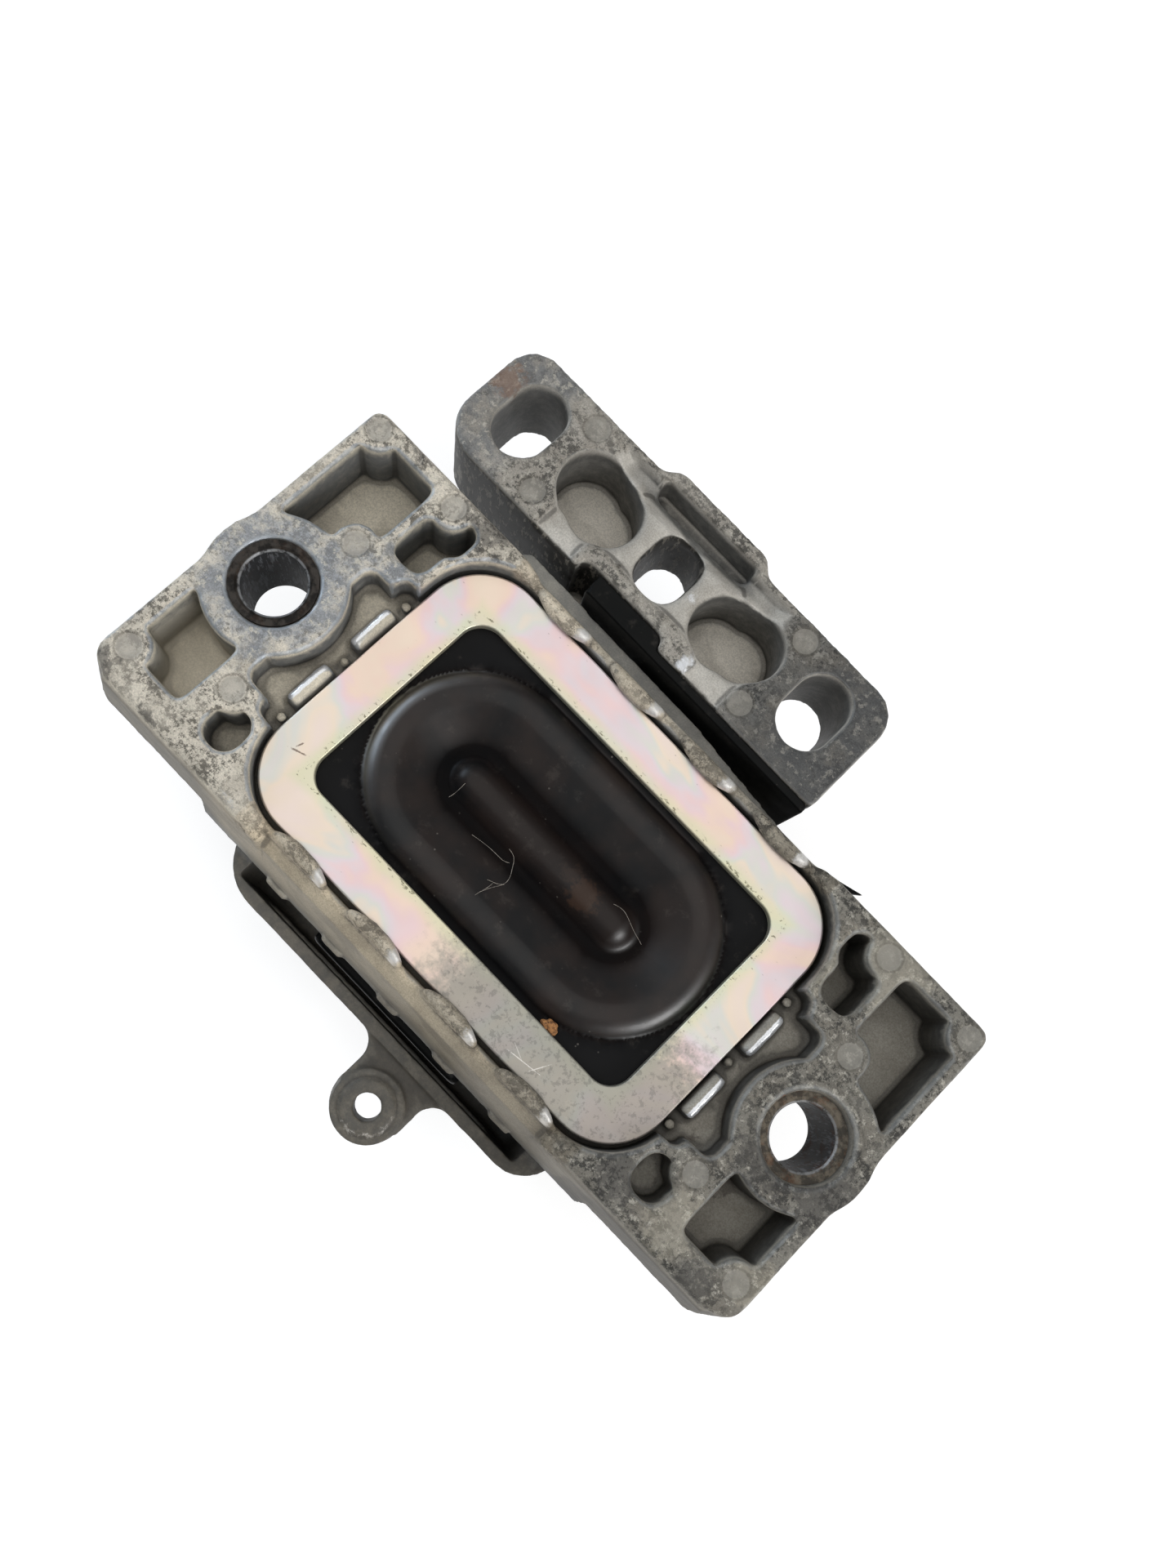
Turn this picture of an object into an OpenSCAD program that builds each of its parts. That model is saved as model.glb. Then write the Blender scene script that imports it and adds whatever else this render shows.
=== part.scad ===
// Hydraulic engine mount: a cast housing with two bolted feet, a rubber and
// fluid unit held in by a staked steel ring, and a cast arm for the engine.
// Lengths are in millimetres. The origin lies midway between the two body
// bolts, in the plane of the feet's faces; +X runs along the feet, +Y towards
// the arm and +Z out of the faces.

/* [Feet] */
// Distance between the two body bolts
bolt_pitch = 185.4; // [183:0.2:188]
// Length of the housing over the feet's end edges
housing_l = 218.4; // [216:0.2:221]
// Thickness of a foot
foot_t = 26; // [24:0.5:29]
// Edge of the feet on the arm's side, from the bolt line
arm_edge_y = 50.4; // [50:0.1:51.5]
// Edge of the feet on the side away from the arm, from the bolt line
far_edge_y = 43.4; // [43:0.1:44.5]
// Depth of the lightening pockets in the feet
pocket_depth = 19; // [14:0.5:20]
// Radius of the round boss about each body bolt
boss_r = 18.3; // [17:0.1:19]
// Radius of the discs left by the die's ejector pins
pin_mark_r = 3.5; // [2.5:0.1:4]
// Depth of those discs
pin_mark_depth = 0.4; // [0.2:0.1:0.8]

/* [Bolt sleeves] */
// Bore of the steel sleeves
sleeve_bore = 16.4; // [14:0.1:17.4]
// Outside diameter of the steel sleeves
sleeve_od = 22; // [20:0.1:22.4]
// Depth of the left sleeve below the foot's face
left_sleeve_drop = 0.4; // [0.2:0.1:3]
// Depth of the right sleeve below the foot's face
right_sleeve_drop = 3; // [0.2:0.1:4]
// Outside diameter of the raised lip about the right sleeve
lip_od = 25.8; // [24.5:0.1:27]

/* [Clamp ring] */
// Length of the ring over its outer edges
ring_l = 132.6; // [131:0.1:134]
// Width of the ring over its outer edges
ring_w = 84.8; // [84:0.1:86]
// Width of the ring's flat band
ring_band = 12.7; // [11:0.1:14]
// Thickness of the ring's sheet
ring_t = 3; // [2:0.1:3.5]
// Radius of the ring's outer corners
ring_r = 17; // [15:0.5:20]
// Depth of the ring's face below the feet's faces
ring_drop = 5.5; // [5:0.1:6.5]
// Gap round the ring in its recess
ring_gap = 1.4; // [1:0.1:1.6]
// Centre of the ring and of the hydraulic unit, from the bolt line
unit_y = 3.3; // [3:0.1:3.6]

/* [Staked lugs] */
// Lugs along each long side
lug_count = 4; // [3:1:4]
// Distance between neighbouring lugs
lug_pitch = 26; // [24:0.5:27]
// Length of a lug
lug_l = 19; // [16:0.5:20]
// How far a lug is pushed over the ring
lug_bite = 1.1; // [0.8:0.1:1.8]
// Length of each of the two bars at a short side
bar_l = 13; // [12:0.5:15]
// Distance between the two bars of a short side
bar_pitch = 20.8; // [19:0.2:22]
// Width of a bar
bar_w = 4.2; // [3.8:0.1:4.6]
// Gap between the ring's edge and a bar
bar_gap = 0.7; // [0.5:0.1:1]

/* [Diaphragm] */
// Wall of the rubber diaphragm
skin_t = 2.4; // [2:0.1:2.8]
// Length of the middle ridge over its ends
ridge_l = 62; // [56:0.5:66]
// Outer radius of the middle ridge
ridge_r = 6; // [5.6:0.1:6.2]
// Radius of the valley round the ridge
valley_r = 3; // [2.8:0.1:3.4]
// Distance of the valley from the middle of the ridge
valley_x = 7.6; // [7.2:0.1:8]
// Depth of the valley below the top of the rolling bead
valley_depth = 6; // [5.5:0.1:6.5]
// Outer radius of the rolling bead
roll_r = 7; // [6.5:0.1:7.4]
// Width of the diaphragm over its rolling bead
bead_w = 58; // [57:0.2:58.6]
// How far the bead stands above the clamped flange
roll_rise = 2.6; // [1.5:0.1:3]
// Thickness of the clamped flange
flange_t = 3; // [2.5:0.1:3.5]

/* [Hydraulic stack] */
// Length of the plates under the ring
stack_l = 125; // [123:0.5:126.4]
// Width of the plates under the ring
stack_w = 78; // [76:0.5:79]
// Thickness of the tray that holds the fluid's long channel
tray_t = 14.5; // [13.5:0.5:15.5]
// Thickness of the tray's floor
tray_floor = 5; // [4.5:0.1:5.5]
// Thickness of the cover plate under the tray
cover_t = 3; // [2.5:0.1:4]
// Thickness of the free membrane
membrane_t = 2.2; // [1.8:0.1:2.5]
// Thickness of the metal carrier of the main spring
carrier_t = 8; // [7:0.5:9]
// Running gap between stacked pieces and the cavity's wall
stack_gap = 0.4; // [0.2:0.05:0.6]

/* [Arch] */
// Height of the whole housing, from the feet's faces to the crown
housing_h = 92; // [90:0.5:96]
// Thickness of the crown
crown_t = 8; // [7:0.5:9]
// Length of the arch over its two legs
arch_l = 122; // [121:0.5:125]
// Thickness of the legs
leg_t = 8.5; // [7.5:0.5:9]
// Edge of the arch on the side away from the arm, from the bolt line
arch_far_y = 58.4; // [58:0.1:60]
// Edge of the arch on the arm's side, from the bolt line
arch_near_y = 54; // [52:0.5:55]
// Depth of the rail of the back wall below the feet's faces
rail_drop = 44; // [43:0.5:46]
// Thickness of the back wall
back_wall = 3.6; // [3.2:0.1:4.2]

/* [Tab] */
// Centre of the tab's hole along the housing
tab_x = 15.4; // [10:0.2:20]
// Centre of the tab's hole, from the bolt line
tab_y = 72; // [70:0.5:76]
// Outer radius of the tab's boss
tab_r = 9.8; // [8.5:0.1:11]
// Diameter of the tab's hole
tab_bore = 8.4; // [6:0.1:9]
// Thickness of the tab
tab_t = 12; // [9:0.5:14]

/* [Arm] */
// Middle slot of the arm, along the housing
arm_x = -31.4; // [-32:0.1:-30.8]
// Line of the arm's slots, from the bolt line
arm_y = 80.7; // [80:0.1:82]
// Distance between neighbouring slots
slot_pitch = 53.7; // [53:0.1:54.4]
// Width of the two end slots
slot_w = 16; // [13:0.1:16.4]
// Length of the two end slots
slot_l = 22.6; // [20:0.1:23.4]
// Width of the middle slot
mid_slot_w = 14.2; // [12:0.1:15]
// Length of the middle slot
mid_slot_l = 20.6; // [18:0.1:21]
// Length of the arm's pad
pad_l = 140; // [138.5:0.5:142]
// Width of the arm's pad
pad_w = 36; // [35.6:0.2:37.4]
// Thickness of the arm's pad
pad_t = 30.5; // [29:0.5:33]
// Depth of the pad's face below the feet's faces
pad_drop = 12; // [11:0.5:13]
// Radius of the two overlapping round pockets
twin_r = 10.2; // [9:0.1:10.6]
// Depth of those pockets below the pad's face
twin_depth = 22; // [18:0.5:24]
// Depth of the middle web below the pad's face
web_drop = 1.6; // [1.2:0.1:2.4]
// Depth of the trench behind the arm's outer rib
trench_depth = 12; // [9:0.5:14]
// Length of the core inside the arch
core_l = 68; // [64:0.5:70]
// Thickness of the core inside the arch
core_t = 26; // [24:0.5:27]
// Width of the neck between core and pad
neck_w = 56; // [50:0.5:58]
// Notch in the pad's wall, to the left of the middle slot
notch_left = 17; // [15:0.2:19]
// Notch in the pad's wall, to the right of the middle slot
notch_right = 13.4; // [12:0.2:15]
// Depth of that notch
notch_depth = 3.4; // [2.8:0.1:4]
// Gap between the arm's rubber buffer and the shelf that stops it
arm_stop_gap = 0.8; // [0.5:0.1:1.5]

/* [Rubber] */
// Thickness of the rebound buffer under the core
rebound_t = 6; // [5:0.5:6.5]
// Gap between a buffer and the metal that it may strike
travel_gap = 2; // [1.2:0.1:2.5]
// Start of the buffer on the arm's wall, to the left of the middle slot
buffer_start = 10.6; // [9:0.2:12]
// Thickness of the buffer on the arm's wall
wall_buffer_t = 2.4; // [2:0.1:3]

/* [Hidden] */

// A small overlap for cuts, so that no two faces of a cut coincide
eps = 0.05;
round_fn = 64;

bolt_x = bolt_pitch / 2;
end_x = housing_l / 2;
boss_wall_r = boss_r + 0.3;

// Levels, counted down from the feet's faces
ring_top = -ring_drop;
ring_bottom = ring_top - ring_t;
flange_bottom = ring_bottom - flange_t;
tray_bottom = flange_bottom - tray_t;
cover_bottom = tray_bottom - cover_t;
carrier_bottom = cover_bottom - carrier_t;
frame_bottom = carrier_bottom - 3;
crown_outer = -housing_h;
crown_inner = crown_outer + crown_t;
rebound_bottom = crown_inner + travel_gap;
core_bottom = rebound_bottom + rebound_t;
core_top = core_bottom + core_t;
pad_top = -pad_drop;
pad_low_y = arm_y - pad_w / 2 - 1;
pad_high_y = arm_y + pad_w / 2 - 1;
lintel_y = pad_low_y - wall_buffer_t - arm_stop_gap;
pad_bottom = pad_top - pad_t;
rail_top = -rail_drop;
seat_step = flange_bottom;
bar_floor = -11;

recess_l = ring_l + 2 * ring_gap;
recess_w = ring_w + 2 * ring_gap;
recess_r = ring_r + ring_gap;
cavity_l = stack_l + 2 * stack_gap;
cavity_w = stack_w + 2 * stack_gap;
cavity_r = 13;
wall_draft = tan(11);
side_draft = tan(5);
shoulder_r = 4;

module both_feet() {
    children();
    mirror([1, 0, 0]) children();
}

// A rectangle with round corners, from its low corner to its high corner
module round_rect(x0, y0, x1, y1, r) {
    translate([x0 + r, y0]) square([x1 - x0 - 2 * r, y1 - y0]);
    translate([x0, y0 + r]) square([x1 - x0, y1 - y0 - 2 * r]);
    for (x = [x0 + r, x1 - r], y = [y0 + r, y1 - r])
        translate([x, y]) circle(r, $fn = round_fn);
}

// The same, given by its centre and size
module round_slab(l, w, r) {
    round_rect(-l / 2, -w / 2, l / 2, w / 2, r);
}

module layer(z_low, z_high) {
    translate([0, 0, z_low]) linear_extrude(z_high - z_low) children();
}

// Feet

foot_corner_r = 6;
arm_corner_r = 3;
foot_inner_x = recess_l / 2;
foot_start_x = 48.6;
ramp_end_x = 53.5;

module foot_plan() {
    round_rect(foot_start_x, -far_edge_y - 8, end_x, arm_edge_y, arm_corner_r);
    translate([bolt_x, 0]) circle(boss_r, $fn = round_fn);
}

// The corner away from the arm widens downwards with the draft of the die
module far_corner_cut() {
    corner_x = end_x - foot_corner_r;
    corner_y = -far_edge_y + foot_corner_r;
    difference() {
        translate([corner_x, corner_y - 30, -foot_t - 1]) cube([30, 30, foot_t + 2]);
        translate([corner_x, corner_y, -foot_t - 1])
            cylinder(r1 = foot_corner_r + 5.4, r2 = foot_corner_r + 0.2, h = foot_t + 1, $fn = round_fn);
    }
}

// Sloping side profile of the feet and the frame, seen along X
module side_profile(bottom) {
    far_foot = -far_edge_y - shoulder_r * 0.6 + bottom * side_draft * 1.1;
    near_foot = arm_edge_y - bottom * side_draft * 0.4;
    polygon([
        [-far_edge_y, 0],
        [-far_edge_y - shoulder_r * 0.35, -shoulder_r * 0.25],
        [-far_edge_y - shoulder_r * 0.6, -shoulder_r],
        [far_foot, bottom],
        [near_foot, bottom],
        [arm_edge_y, -shoulder_r],
        [arm_edge_y, 0]
    ]);
}

module along_x(x0, x1) {
    translate([x0, 0, 0]) rotate([90, 0, 90]) linear_extrude(x1 - x0) children();
}

module along_y(y0, y1) {
    translate([0, y1, 0]) rotate([90, 0, 0]) linear_extrude(y1 - y0) children();
}

module foot_block() {
    intersection() {
        layer(-foot_t, 0) foot_plan();
        along_x(0, end_x + boss_r) side_profile(-foot_t);
    }
}

module foot_body() {
    difference() {
        foot_block();
        far_corner_cut();
        // ramp from the foot's face down to the frame's ledge
        along_y(-far_edge_y - 20, arm_edge_y + 20) polygon([
            [foot_start_x - 1, 1],
            [ramp_end_x + 0.8, 1],
            [ramp_end_x, 0],
            [foot_start_x + 1, ring_top + 0.6],
            [foot_start_x - 1, ring_top - 0.6]
        ]);
    }
}

// Positions of the ejector pins on the right foot
pin_marks = [
    [end_x - 4.4, arm_edge_y - 4.6],
    [bolt_x - 15.2, arm_edge_y - 4.8],
    [bolt_x - 6, boss_r + 3],
    [end_x - 5.8, -far_edge_y + 7.8],
    [bolt_x - 13.3, -boss_r - 6.6]
];
pin_boss_r = pin_mark_r + 2.3;

module pin_bosses() {
    for (p = pin_marks) translate(p) circle(pin_boss_r, $fn = round_fn);
}

module big_pocket_plan() {
    difference() {
        round_rect(bolt_x - 8.6, boss_r - 6, end_x - 4, arm_edge_y - 5, 1.8);
        translate([bolt_x, 0]) circle(boss_r, $fn = round_fn);
        pin_bosses();
    }
}

module far_pocket_plan() {
    difference() {
        round_rect(bolt_x - 6.7, -far_edge_y + 7.3, end_x - 4.9, -boss_r + 5, 1.8);
        translate([bolt_x, 0]) circle(boss_r, $fn = round_fn);
        pin_bosses();
    }
}

module lobe_pocket_plan() {
    difference() {
        union() {
            round_rect(bolt_x - 22.4, boss_r + 8.2, bolt_x - 12.2, boss_r + 22, 3.4);
            round_rect(bolt_x - 25.2, boss_r + 17.4, bolt_x - 18.2, arm_edge_y - 4.6, 3.2);
        }
        pin_bosses();
    }
}

module blind_hole_plan() {
    difference() {
        translate([bolt_x - 19.4, -boss_r - 13.9]) round_slab(10, 11.4, 4.4);
        pin_bosses();
    }
}

// Room between the bolt's boss and the ring, where the bars stand
module bar_pocket_plan() {
    difference() {
        union() {
            round_rect(foot_inner_x - 8, unit_y - 23.6, bolt_x - 12.7, unit_y + 17, 3);
            round_rect(foot_inner_x - 8, unit_y - 27.4, bolt_x - 20, unit_y + 21.4, 3);
        }
        translate([bolt_x, 0]) circle(boss_wall_r, $fn = round_fn);
    }
}

module foot_cuts() {
    layer(-pocket_depth, eps) {
        big_pocket_plan();
        far_pocket_plan();
        lobe_pocket_plan();
    }
    layer(-pocket_depth + 5, eps) blind_hole_plan();
    layer(bar_floor, eps) bar_pocket_plan();
    for (p = pin_marks) translate([p[0], p[1], -pin_mark_depth])
        cylinder(r = pin_mark_r, h = pin_mark_depth + eps, $fn = round_fn);
}

module sleeve_seat(side, drop) {
    translate([side * bolt_x, 0, -foot_t - 8])
        cylinder(d = sleeve_od, h = foot_t + 8 + eps, $fn = round_fn);
    translate([side * bolt_x, 0, -drop])
        cylinder(d1 = sleeve_od, d2 = sleeve_od + 0.8, h = drop + eps, $fn = round_fn);
}

// Frame round the hydraulic unit

module unit_place() {
    translate([0, unit_y, 0]) children();
}

frame_edge_arm = unit_y + recess_w / 2 + 3;
frame_edge_far = unit_y - recess_w / 2 - 2.2;
frame_end_x = recess_l / 2 + 3;
ledge_top = ring_top - 0.6;

// Wall round the stack, wider towards the arch
module frame_block() {
    along_x(-frame_end_x, frame_end_x) polygon([
        [frame_edge_far, ledge_top],
        [frame_edge_far - 3, ledge_top - 4],
        [-far_edge_y - 4.9, -foot_t],
        [-far_edge_y - 6.8, frame_bottom],
        [frame_edge_arm + 3, frame_bottom],
        [frame_edge_arm + 0.6, ledge_top - 4],
        [frame_edge_arm, ledge_top]
    ]);
}

// Shelf over the arch's mouth, against which the arm's buffer may come to rest
lintel_top = -22;
lintel_bottom = -38;

module lintel() {
    layer(lintel_bottom, lintel_top) polygon([
        [-arch_l / 2 - 1, frame_edge_arm - 2],
        [-arch_l / 2 - 1, lintel_y - 2],
        [-arch_l / 2 + 1, lintel_y],
        [4, lintel_y - 0.6],
        [40, frame_edge_arm + 4.6],
        [42, frame_edge_arm - 2]
    ]);
}

// Low pads along the foot of the wall
module wall_pads() {
    for (x = [-42.2, -21.2, -0.2, 20.8, 41.8])
        translate([x - 3.4, -far_edge_y - 7.6, frame_bottom]) cube([6.8, 5, 5]);
}

module stack_cavity() {
    unit_place() {
        layer(seat_step, 1) round_slab(recess_l, recess_w, recess_r);
        layer(carrier_bottom, 1) round_slab(cavity_l, cavity_w, cavity_r);
        layer(frame_bottom - 1, 0) round_slab(cavity_l - 9, cavity_w - 9, cavity_r - 4);
    }
}

// One lug on the arm's side: its top leans over the ring's edge
lug_top = ring_top + 4;
lug_clear = 0.15;
lug_nose_r = 3.2;

module lug_profile(inner, outer) {
    polygon([
        [outer, ledge_top - 1],
        [outer - 0.3, ring_top + 1.8],
        [outer - 1.4, lug_top - 0.5],
        [outer - 2.6, lug_top],
        [inner - lug_bite + 1.3, lug_top - 0.7],
        [inner - lug_bite + 0.3, ring_top + 1.8],
        [inner - lug_bite, ring_top + lug_clear],
        [inner + ring_gap, ring_top + lug_clear],
        [inner + ring_gap, ledge_top - 1]
    ]);
}

module lug(inner, outer) {
    bow_r = (pow(lug_l / 2, 2) + pow(lug_bite + ring_gap, 2)) / (2 * (lug_bite + ring_gap));
    intersection() {
        along_x(-lug_l / 2, lug_l / 2) lug_profile(inner, outer);
        translate([0, inner - lug_bite + bow_r, ledge_top - 5])
            cylinder(r = bow_r, h = 20, $fn = 96);
        along_y(0, outer) round_rect(-lug_l / 2, ledge_top - 8, lug_l / 2, lug_top, lug_nose_r);
    }
}

module long_side_lugs() {
    start = -(lug_count - 1) / 2 * lug_pitch;
    for (i = [0 : lug_count - 1]) translate([start + i * lug_pitch, unit_y, 0]) {
        lug(ring_w / 2, frame_edge_arm - unit_y - 0.4);
        mirror([0, 1, 0]) lug(ring_w / 2, unit_y - frame_edge_far - 0.2);
    }
}

// A bar at the short side: a ramp that rises from the ring's edge to a rounded shoulder
bar_in = ring_l / 2 + bar_gap;
bar_out = bar_in + bar_w;
bar_top = ring_top + 0.9;
bar_foot = bar_floor - 1;
shoulder_round = 1.7;

module bar_profile() {
    polygon([
        [bar_in, bar_foot - 1],
        [bar_in, ring_top - 1.3],
        [bar_out - shoulder_round - 0.9, bar_top - 0.15],
        [bar_out - shoulder_round, bar_top],
        [bar_out - shoulder_round, bar_foot - 1]
    ]);
    translate([bar_out - shoulder_round, bar_top - shoulder_round])
        circle(shoulder_round, $fn = round_fn);
    translate([bar_out - 2 * shoulder_round, bar_foot - 1])
        square([2 * shoulder_round, bar_top - shoulder_round - bar_foot + 1]);
}

module short_side_bars() {
    for (y = [-bar_pitch / 2, bar_pitch / 2]) translate([0, unit_y - 3 + y, 0])
        intersection() {
            along_y(-bar_l / 2, bar_l / 2) bar_profile();
            along_x(0, ring_l) round_rect(-bar_l / 2, bar_foot - 4, bar_l / 2, bar_top, 1.6);
        }
}

// Small witness studs beside the bars
module bar_studs() {
    for (y = [-1, 0, 1])
        translate([bar_in + 1.6, unit_y - 3 + y * bar_pitch, bar_foot - 1])
            cylinder(r = 1.3, h = 4.4, $fn = 32);
}

// Arch

arch_x = arch_l / 2;
leg_inner_x = arch_x - leg_t;
crown_corner_r = 13;
mouth_corner_r = 7;

module arch_section() {
    difference() {
        union() {
            translate([-arch_x, rail_top]) square([arch_l, -10 - rail_top]);
            round_rect(-arch_x, crown_outer, arch_x, rail_top + crown_corner_r, crown_corner_r);
        }
        round_rect(-leg_inner_x, crown_inner, leg_inner_x, 0, mouth_corner_r);
    }
}

module arch_shell() {
    difference() {
        along_y(-arch_far_y, arch_near_y) arch_section();
        // the near part of the legs stops at the frame's own sides
        translate([-arch_l, -arch_far_y - 1, rail_top])
            cube([2 * arch_l, arch_far_y + 1 + frame_edge_far - 4, 60]);
        translate([-arch_l, frame_edge_arm + 0.8, lintel_top])
            cube([2 * arch_l, 20, 60]);
    }
}

// Back wall of the arch, with a rail along its top edge and a long window
window_r = 8;

module back_wall_plan() {
    difference() {
        round_rect(-arch_x, crown_outer, arch_x, rail_top, crown_corner_r);
        round_rect(-leg_inner_x + 9, crown_inner + 5, leg_inner_x - 9, rail_top - 7, window_r);
    }
}

module back_wall() {
    along_y(-arch_far_y, -arch_far_y + back_wall) difference() {
        union() {
            back_wall_plan();
            translate([-arch_x, rail_top - 16]) square([arch_l, 16]);
        }
        round_rect(-leg_inner_x + 9, crown_inner + 5, leg_inner_x - 9, rail_top - 7, window_r);
    }
}

// Round corners of the arch in plan, as the rail shows them
module arch_plan() {
    intersection() {
        round_rect(-arch_x, -arch_far_y, arch_x + 20, arch_near_y + 20, 15.5);
        round_rect(-arch_x - 20, -arch_far_y, arch_x, arch_near_y + 20, 12);
    }
}

// Ribs between the feet's far faces and the legs
rib_t = 5;

module foot_ribs() {
    for (y = [-far_edge_y + 6, -boss_r - 2, boss_r + 2, arm_edge_y - 8])
        along_y(y - rib_t / 2, y + rib_t / 2) polygon([
            [arch_x - 1, -foot_t + 1],
            [end_x - 8, -foot_t + 1],
            [end_x - 14, -foot_t - 2],
            [arch_x + 4, rail_top - 14],
            [arch_x - 1, rail_top - 22]
        ]);
}

module bolt_pad() {
    translate([bolt_x, 0, -foot_t - 2]) cylinder(r = boss_r - 2, h = 4, $fn = round_fn);
}

// Shallow pockets in the crown, between the ribs that it rests on
crown_rib = 5;
crown_pocket = 3;

module crown_cuts() {
    cell_l = (2 * (arch_x - crown_corner_r) - 2 * crown_rib) / 3;
    cell_w = (arch_far_y + arch_near_y - 4 * crown_rib) / 2;
    for (i = [-1, 0, 1], j = [0, 1])
        translate([i * (cell_l + crown_rib), -arch_far_y + 1.5 * crown_rib + (cell_w + crown_rib) * j + cell_w / 2, 0])
            layer(crown_outer - eps, crown_outer + crown_pocket)
                round_slab(cell_l, cell_w, 5);
}

// Tab

module tab() {
    translate([tab_x, -tab_y, rail_top - tab_t]) {
        cylinder(r1 = tab_r + 1, r2 = tab_r, h = tab_t, $fn = round_fn);
        translate([0, 0, tab_t - eps]) cylinder(r = tab_r - 2.6, h = 1, $fn = round_fn);
    }
    web_half = tab_r + 0.8;
    fillet_r = 6;
    root_y = -arch_far_y + 1;
    layer(rail_top - tab_t + 1, rail_top - 1) translate([tab_x, 0]) difference() {
        translate([-web_half - fillet_r, -tab_y])
            square([2 * (web_half + fillet_r), tab_y + root_y]);
        for (s = [-1, 1]) hull_free_notch(s, web_half, fillet_r, root_y);
    }
}

// The hollow beside the tab's web: a straight side that ends in a round fillet
module hull_free_notch(s, web_half, fillet_r, root_y) {
    translate([s * (web_half + fillet_r), root_y - 1 - fillet_r])
        circle(fillet_r, $fn = round_fn);
    translate([s > 0 ? web_half : -web_half - 2 * fillet_r, -tab_y - 1])
        square([2 * fillet_r, tab_y + root_y - fillet_r]);
}

module tab_hole() {
    translate([tab_x, -tab_y, rail_top - tab_t - 1])
        cylinder(d = tab_bore, h = tab_t + 4, $fn = round_fn);
}

module housing() {
    color([0.62, 0.62, 0.6]) {
        difference() {
            union() {
                both_feet() {
                    foot_body();
                    bolt_pad();
                    foot_ribs();
                }
                frame_block();
                lintel();
                wall_pads();
                intersection() {
                    union() {
                        arch_shell();
                        back_wall();
                    }
                    layer(crown_outer, 0) arch_plan();
                }
                tab();
                translate([bolt_x, 0, -eps])
                    cylinder(d1 = lip_od + 1, d2 = lip_od, h = 0.6 + eps, $fn = round_fn);
            }
            both_feet() foot_cuts();
            sleeve_seat(-1, left_sleeve_drop);
            sleeve_seat(1, right_sleeve_drop);
            translate([bolt_x, 0, 0]) cylinder(d = sleeve_od + 0.8, h = 2, $fn = round_fn);
            stack_cavity();
            crown_cuts();
            tab_hole();
        }
        long_side_lugs();
        both_feet() {
            short_side_bars();
            bar_studs();
        }
    }
}

// Sleeves

module sleeve(side, drop) {
    color([0.36, 0.33, 0.3]) translate([side * bolt_x, 0, -foot_t - 2]) difference() {
        cylinder(d = sleeve_od, h = foot_t + 2 - drop, $fn = round_fn);
        translate([0, 0, -eps])
            cylinder(d = sleeve_bore, h = foot_t + 3, $fn = round_fn);
        translate([0, 0, foot_t + 2 - drop - 1.2])
            cylinder(d1 = sleeve_bore, d2 = sleeve_bore + 2.6, h = 1.2 + eps, $fn = round_fn);
    }
}

module sleeve_left() {
    sleeve(-1, left_sleeve_drop);
}

module sleeve_right() {
    sleeve(1, right_sleeve_drop);
}

// Clamp ring

window_corner_r = 6.5;

module clamp_ring() {
    color([0.86, 0.8, 0.74]) unit_place() difference() {
        layer(ring_bottom, ring_top) round_slab(ring_l, ring_w, ring_r);
        layer(ring_bottom - eps, ring_top + eps)
            round_slab(ring_l - 2 * ring_band, ring_w - 2 * ring_band, window_corner_r);
    }
}

// Diaphragm: one profile, turned about the two ends and drawn out between them

spine = ridge_l / 2 - ridge_r;
roll_edge = bead_w / 2;
roll_c = roll_edge - roll_r;
bead_top = ring_bottom + roll_rise;
bead_z = bead_top - roll_r;
valley_z = bead_top - valley_depth + valley_r;
bite = 0.01; // arcs and lines cross by this much instead of only touching
ridge_z = valley_z - sqrt(pow(ridge_r + valley_r - 2 * bite, 2) - pow(valley_x, 2));
rise_reach = norm([roll_c - valley_x, valley_z - bead_z]);
rise_turn = atan2(valley_z - bead_z, roll_c - valley_x) + acos((valley_r + roll_r) / rise_reach);
rise_normal = [cos(rise_turn), -sin(rise_turn)];

// Everything under the rubber's face, or, with a skin, under the rubber itself
module under_bellows(skin, right, floor_z) {
    ridge_c = [0, ridge_z];
    valley_c = [valley_x, valley_z];
    bead_c = [roll_c, bead_z];
    difference() {
        union() {
            translate(ridge_c) circle(ridge_r - skin, $fn = round_fn);
            translate(bead_c) circle(roll_r - skin, $fn = round_fn);
            polygon([
                ridge_c,
                valley_c,
                valley_c + (valley_r + skin - bite) * rise_normal,
                bead_c - (roll_r - skin - bite) * rise_normal,
                bead_c,
                [roll_c + right, bead_z],
                [roll_c + right, floor_z],
                [0, floor_z]
            ]);
        }
        translate(valley_c) circle(valley_r + skin, $fn = round_fn);
    }
}

module bellows_profile() {
    floor_z = bead_z - roll_r;
    intersection() {
        difference() {
            under_bellows(0, 0, floor_z);
            under_bellows(skin_t, 1, floor_z - 1);
        }
        polygon([
            [0, bead_top + 1],
            [roll_edge + 1, bead_top + 1],
            [roll_edge + 1, bead_z],
            [roll_c, bead_z],
            [roll_c, floor_z - 2],
            [0, floor_z - 2]
        ]);
    }
}

module stadium(half_spine, r) {
    round_rect(-half_spine - r, -r, half_spine + r, r, r - 0.001);
}

module diaphragm() {
    color([0.13, 0.12, 0.12]) unit_place() {
        difference() {
            layer(flange_bottom, ring_bottom)
                round_slab(ring_l - 1, ring_w - 1, ring_r - 0.5);
            layer(flange_bottom - eps, ring_bottom + eps) stadium(spine, roll_edge - skin_t / 2);
        }
        for (s = [0, 1]) mirror([s, 0, 0]) translate([spine, 0, 0])
            rotate([0, 0, -90]) rotate_extrude(angle = 180, $fn = 96) bellows_profile();
        for (s = [0, 1]) mirror([0, s, 0]) along_x(-spine, spine) bellows_profile();
    }
}

// Tray with the long fluid channel, and its cover

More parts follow.
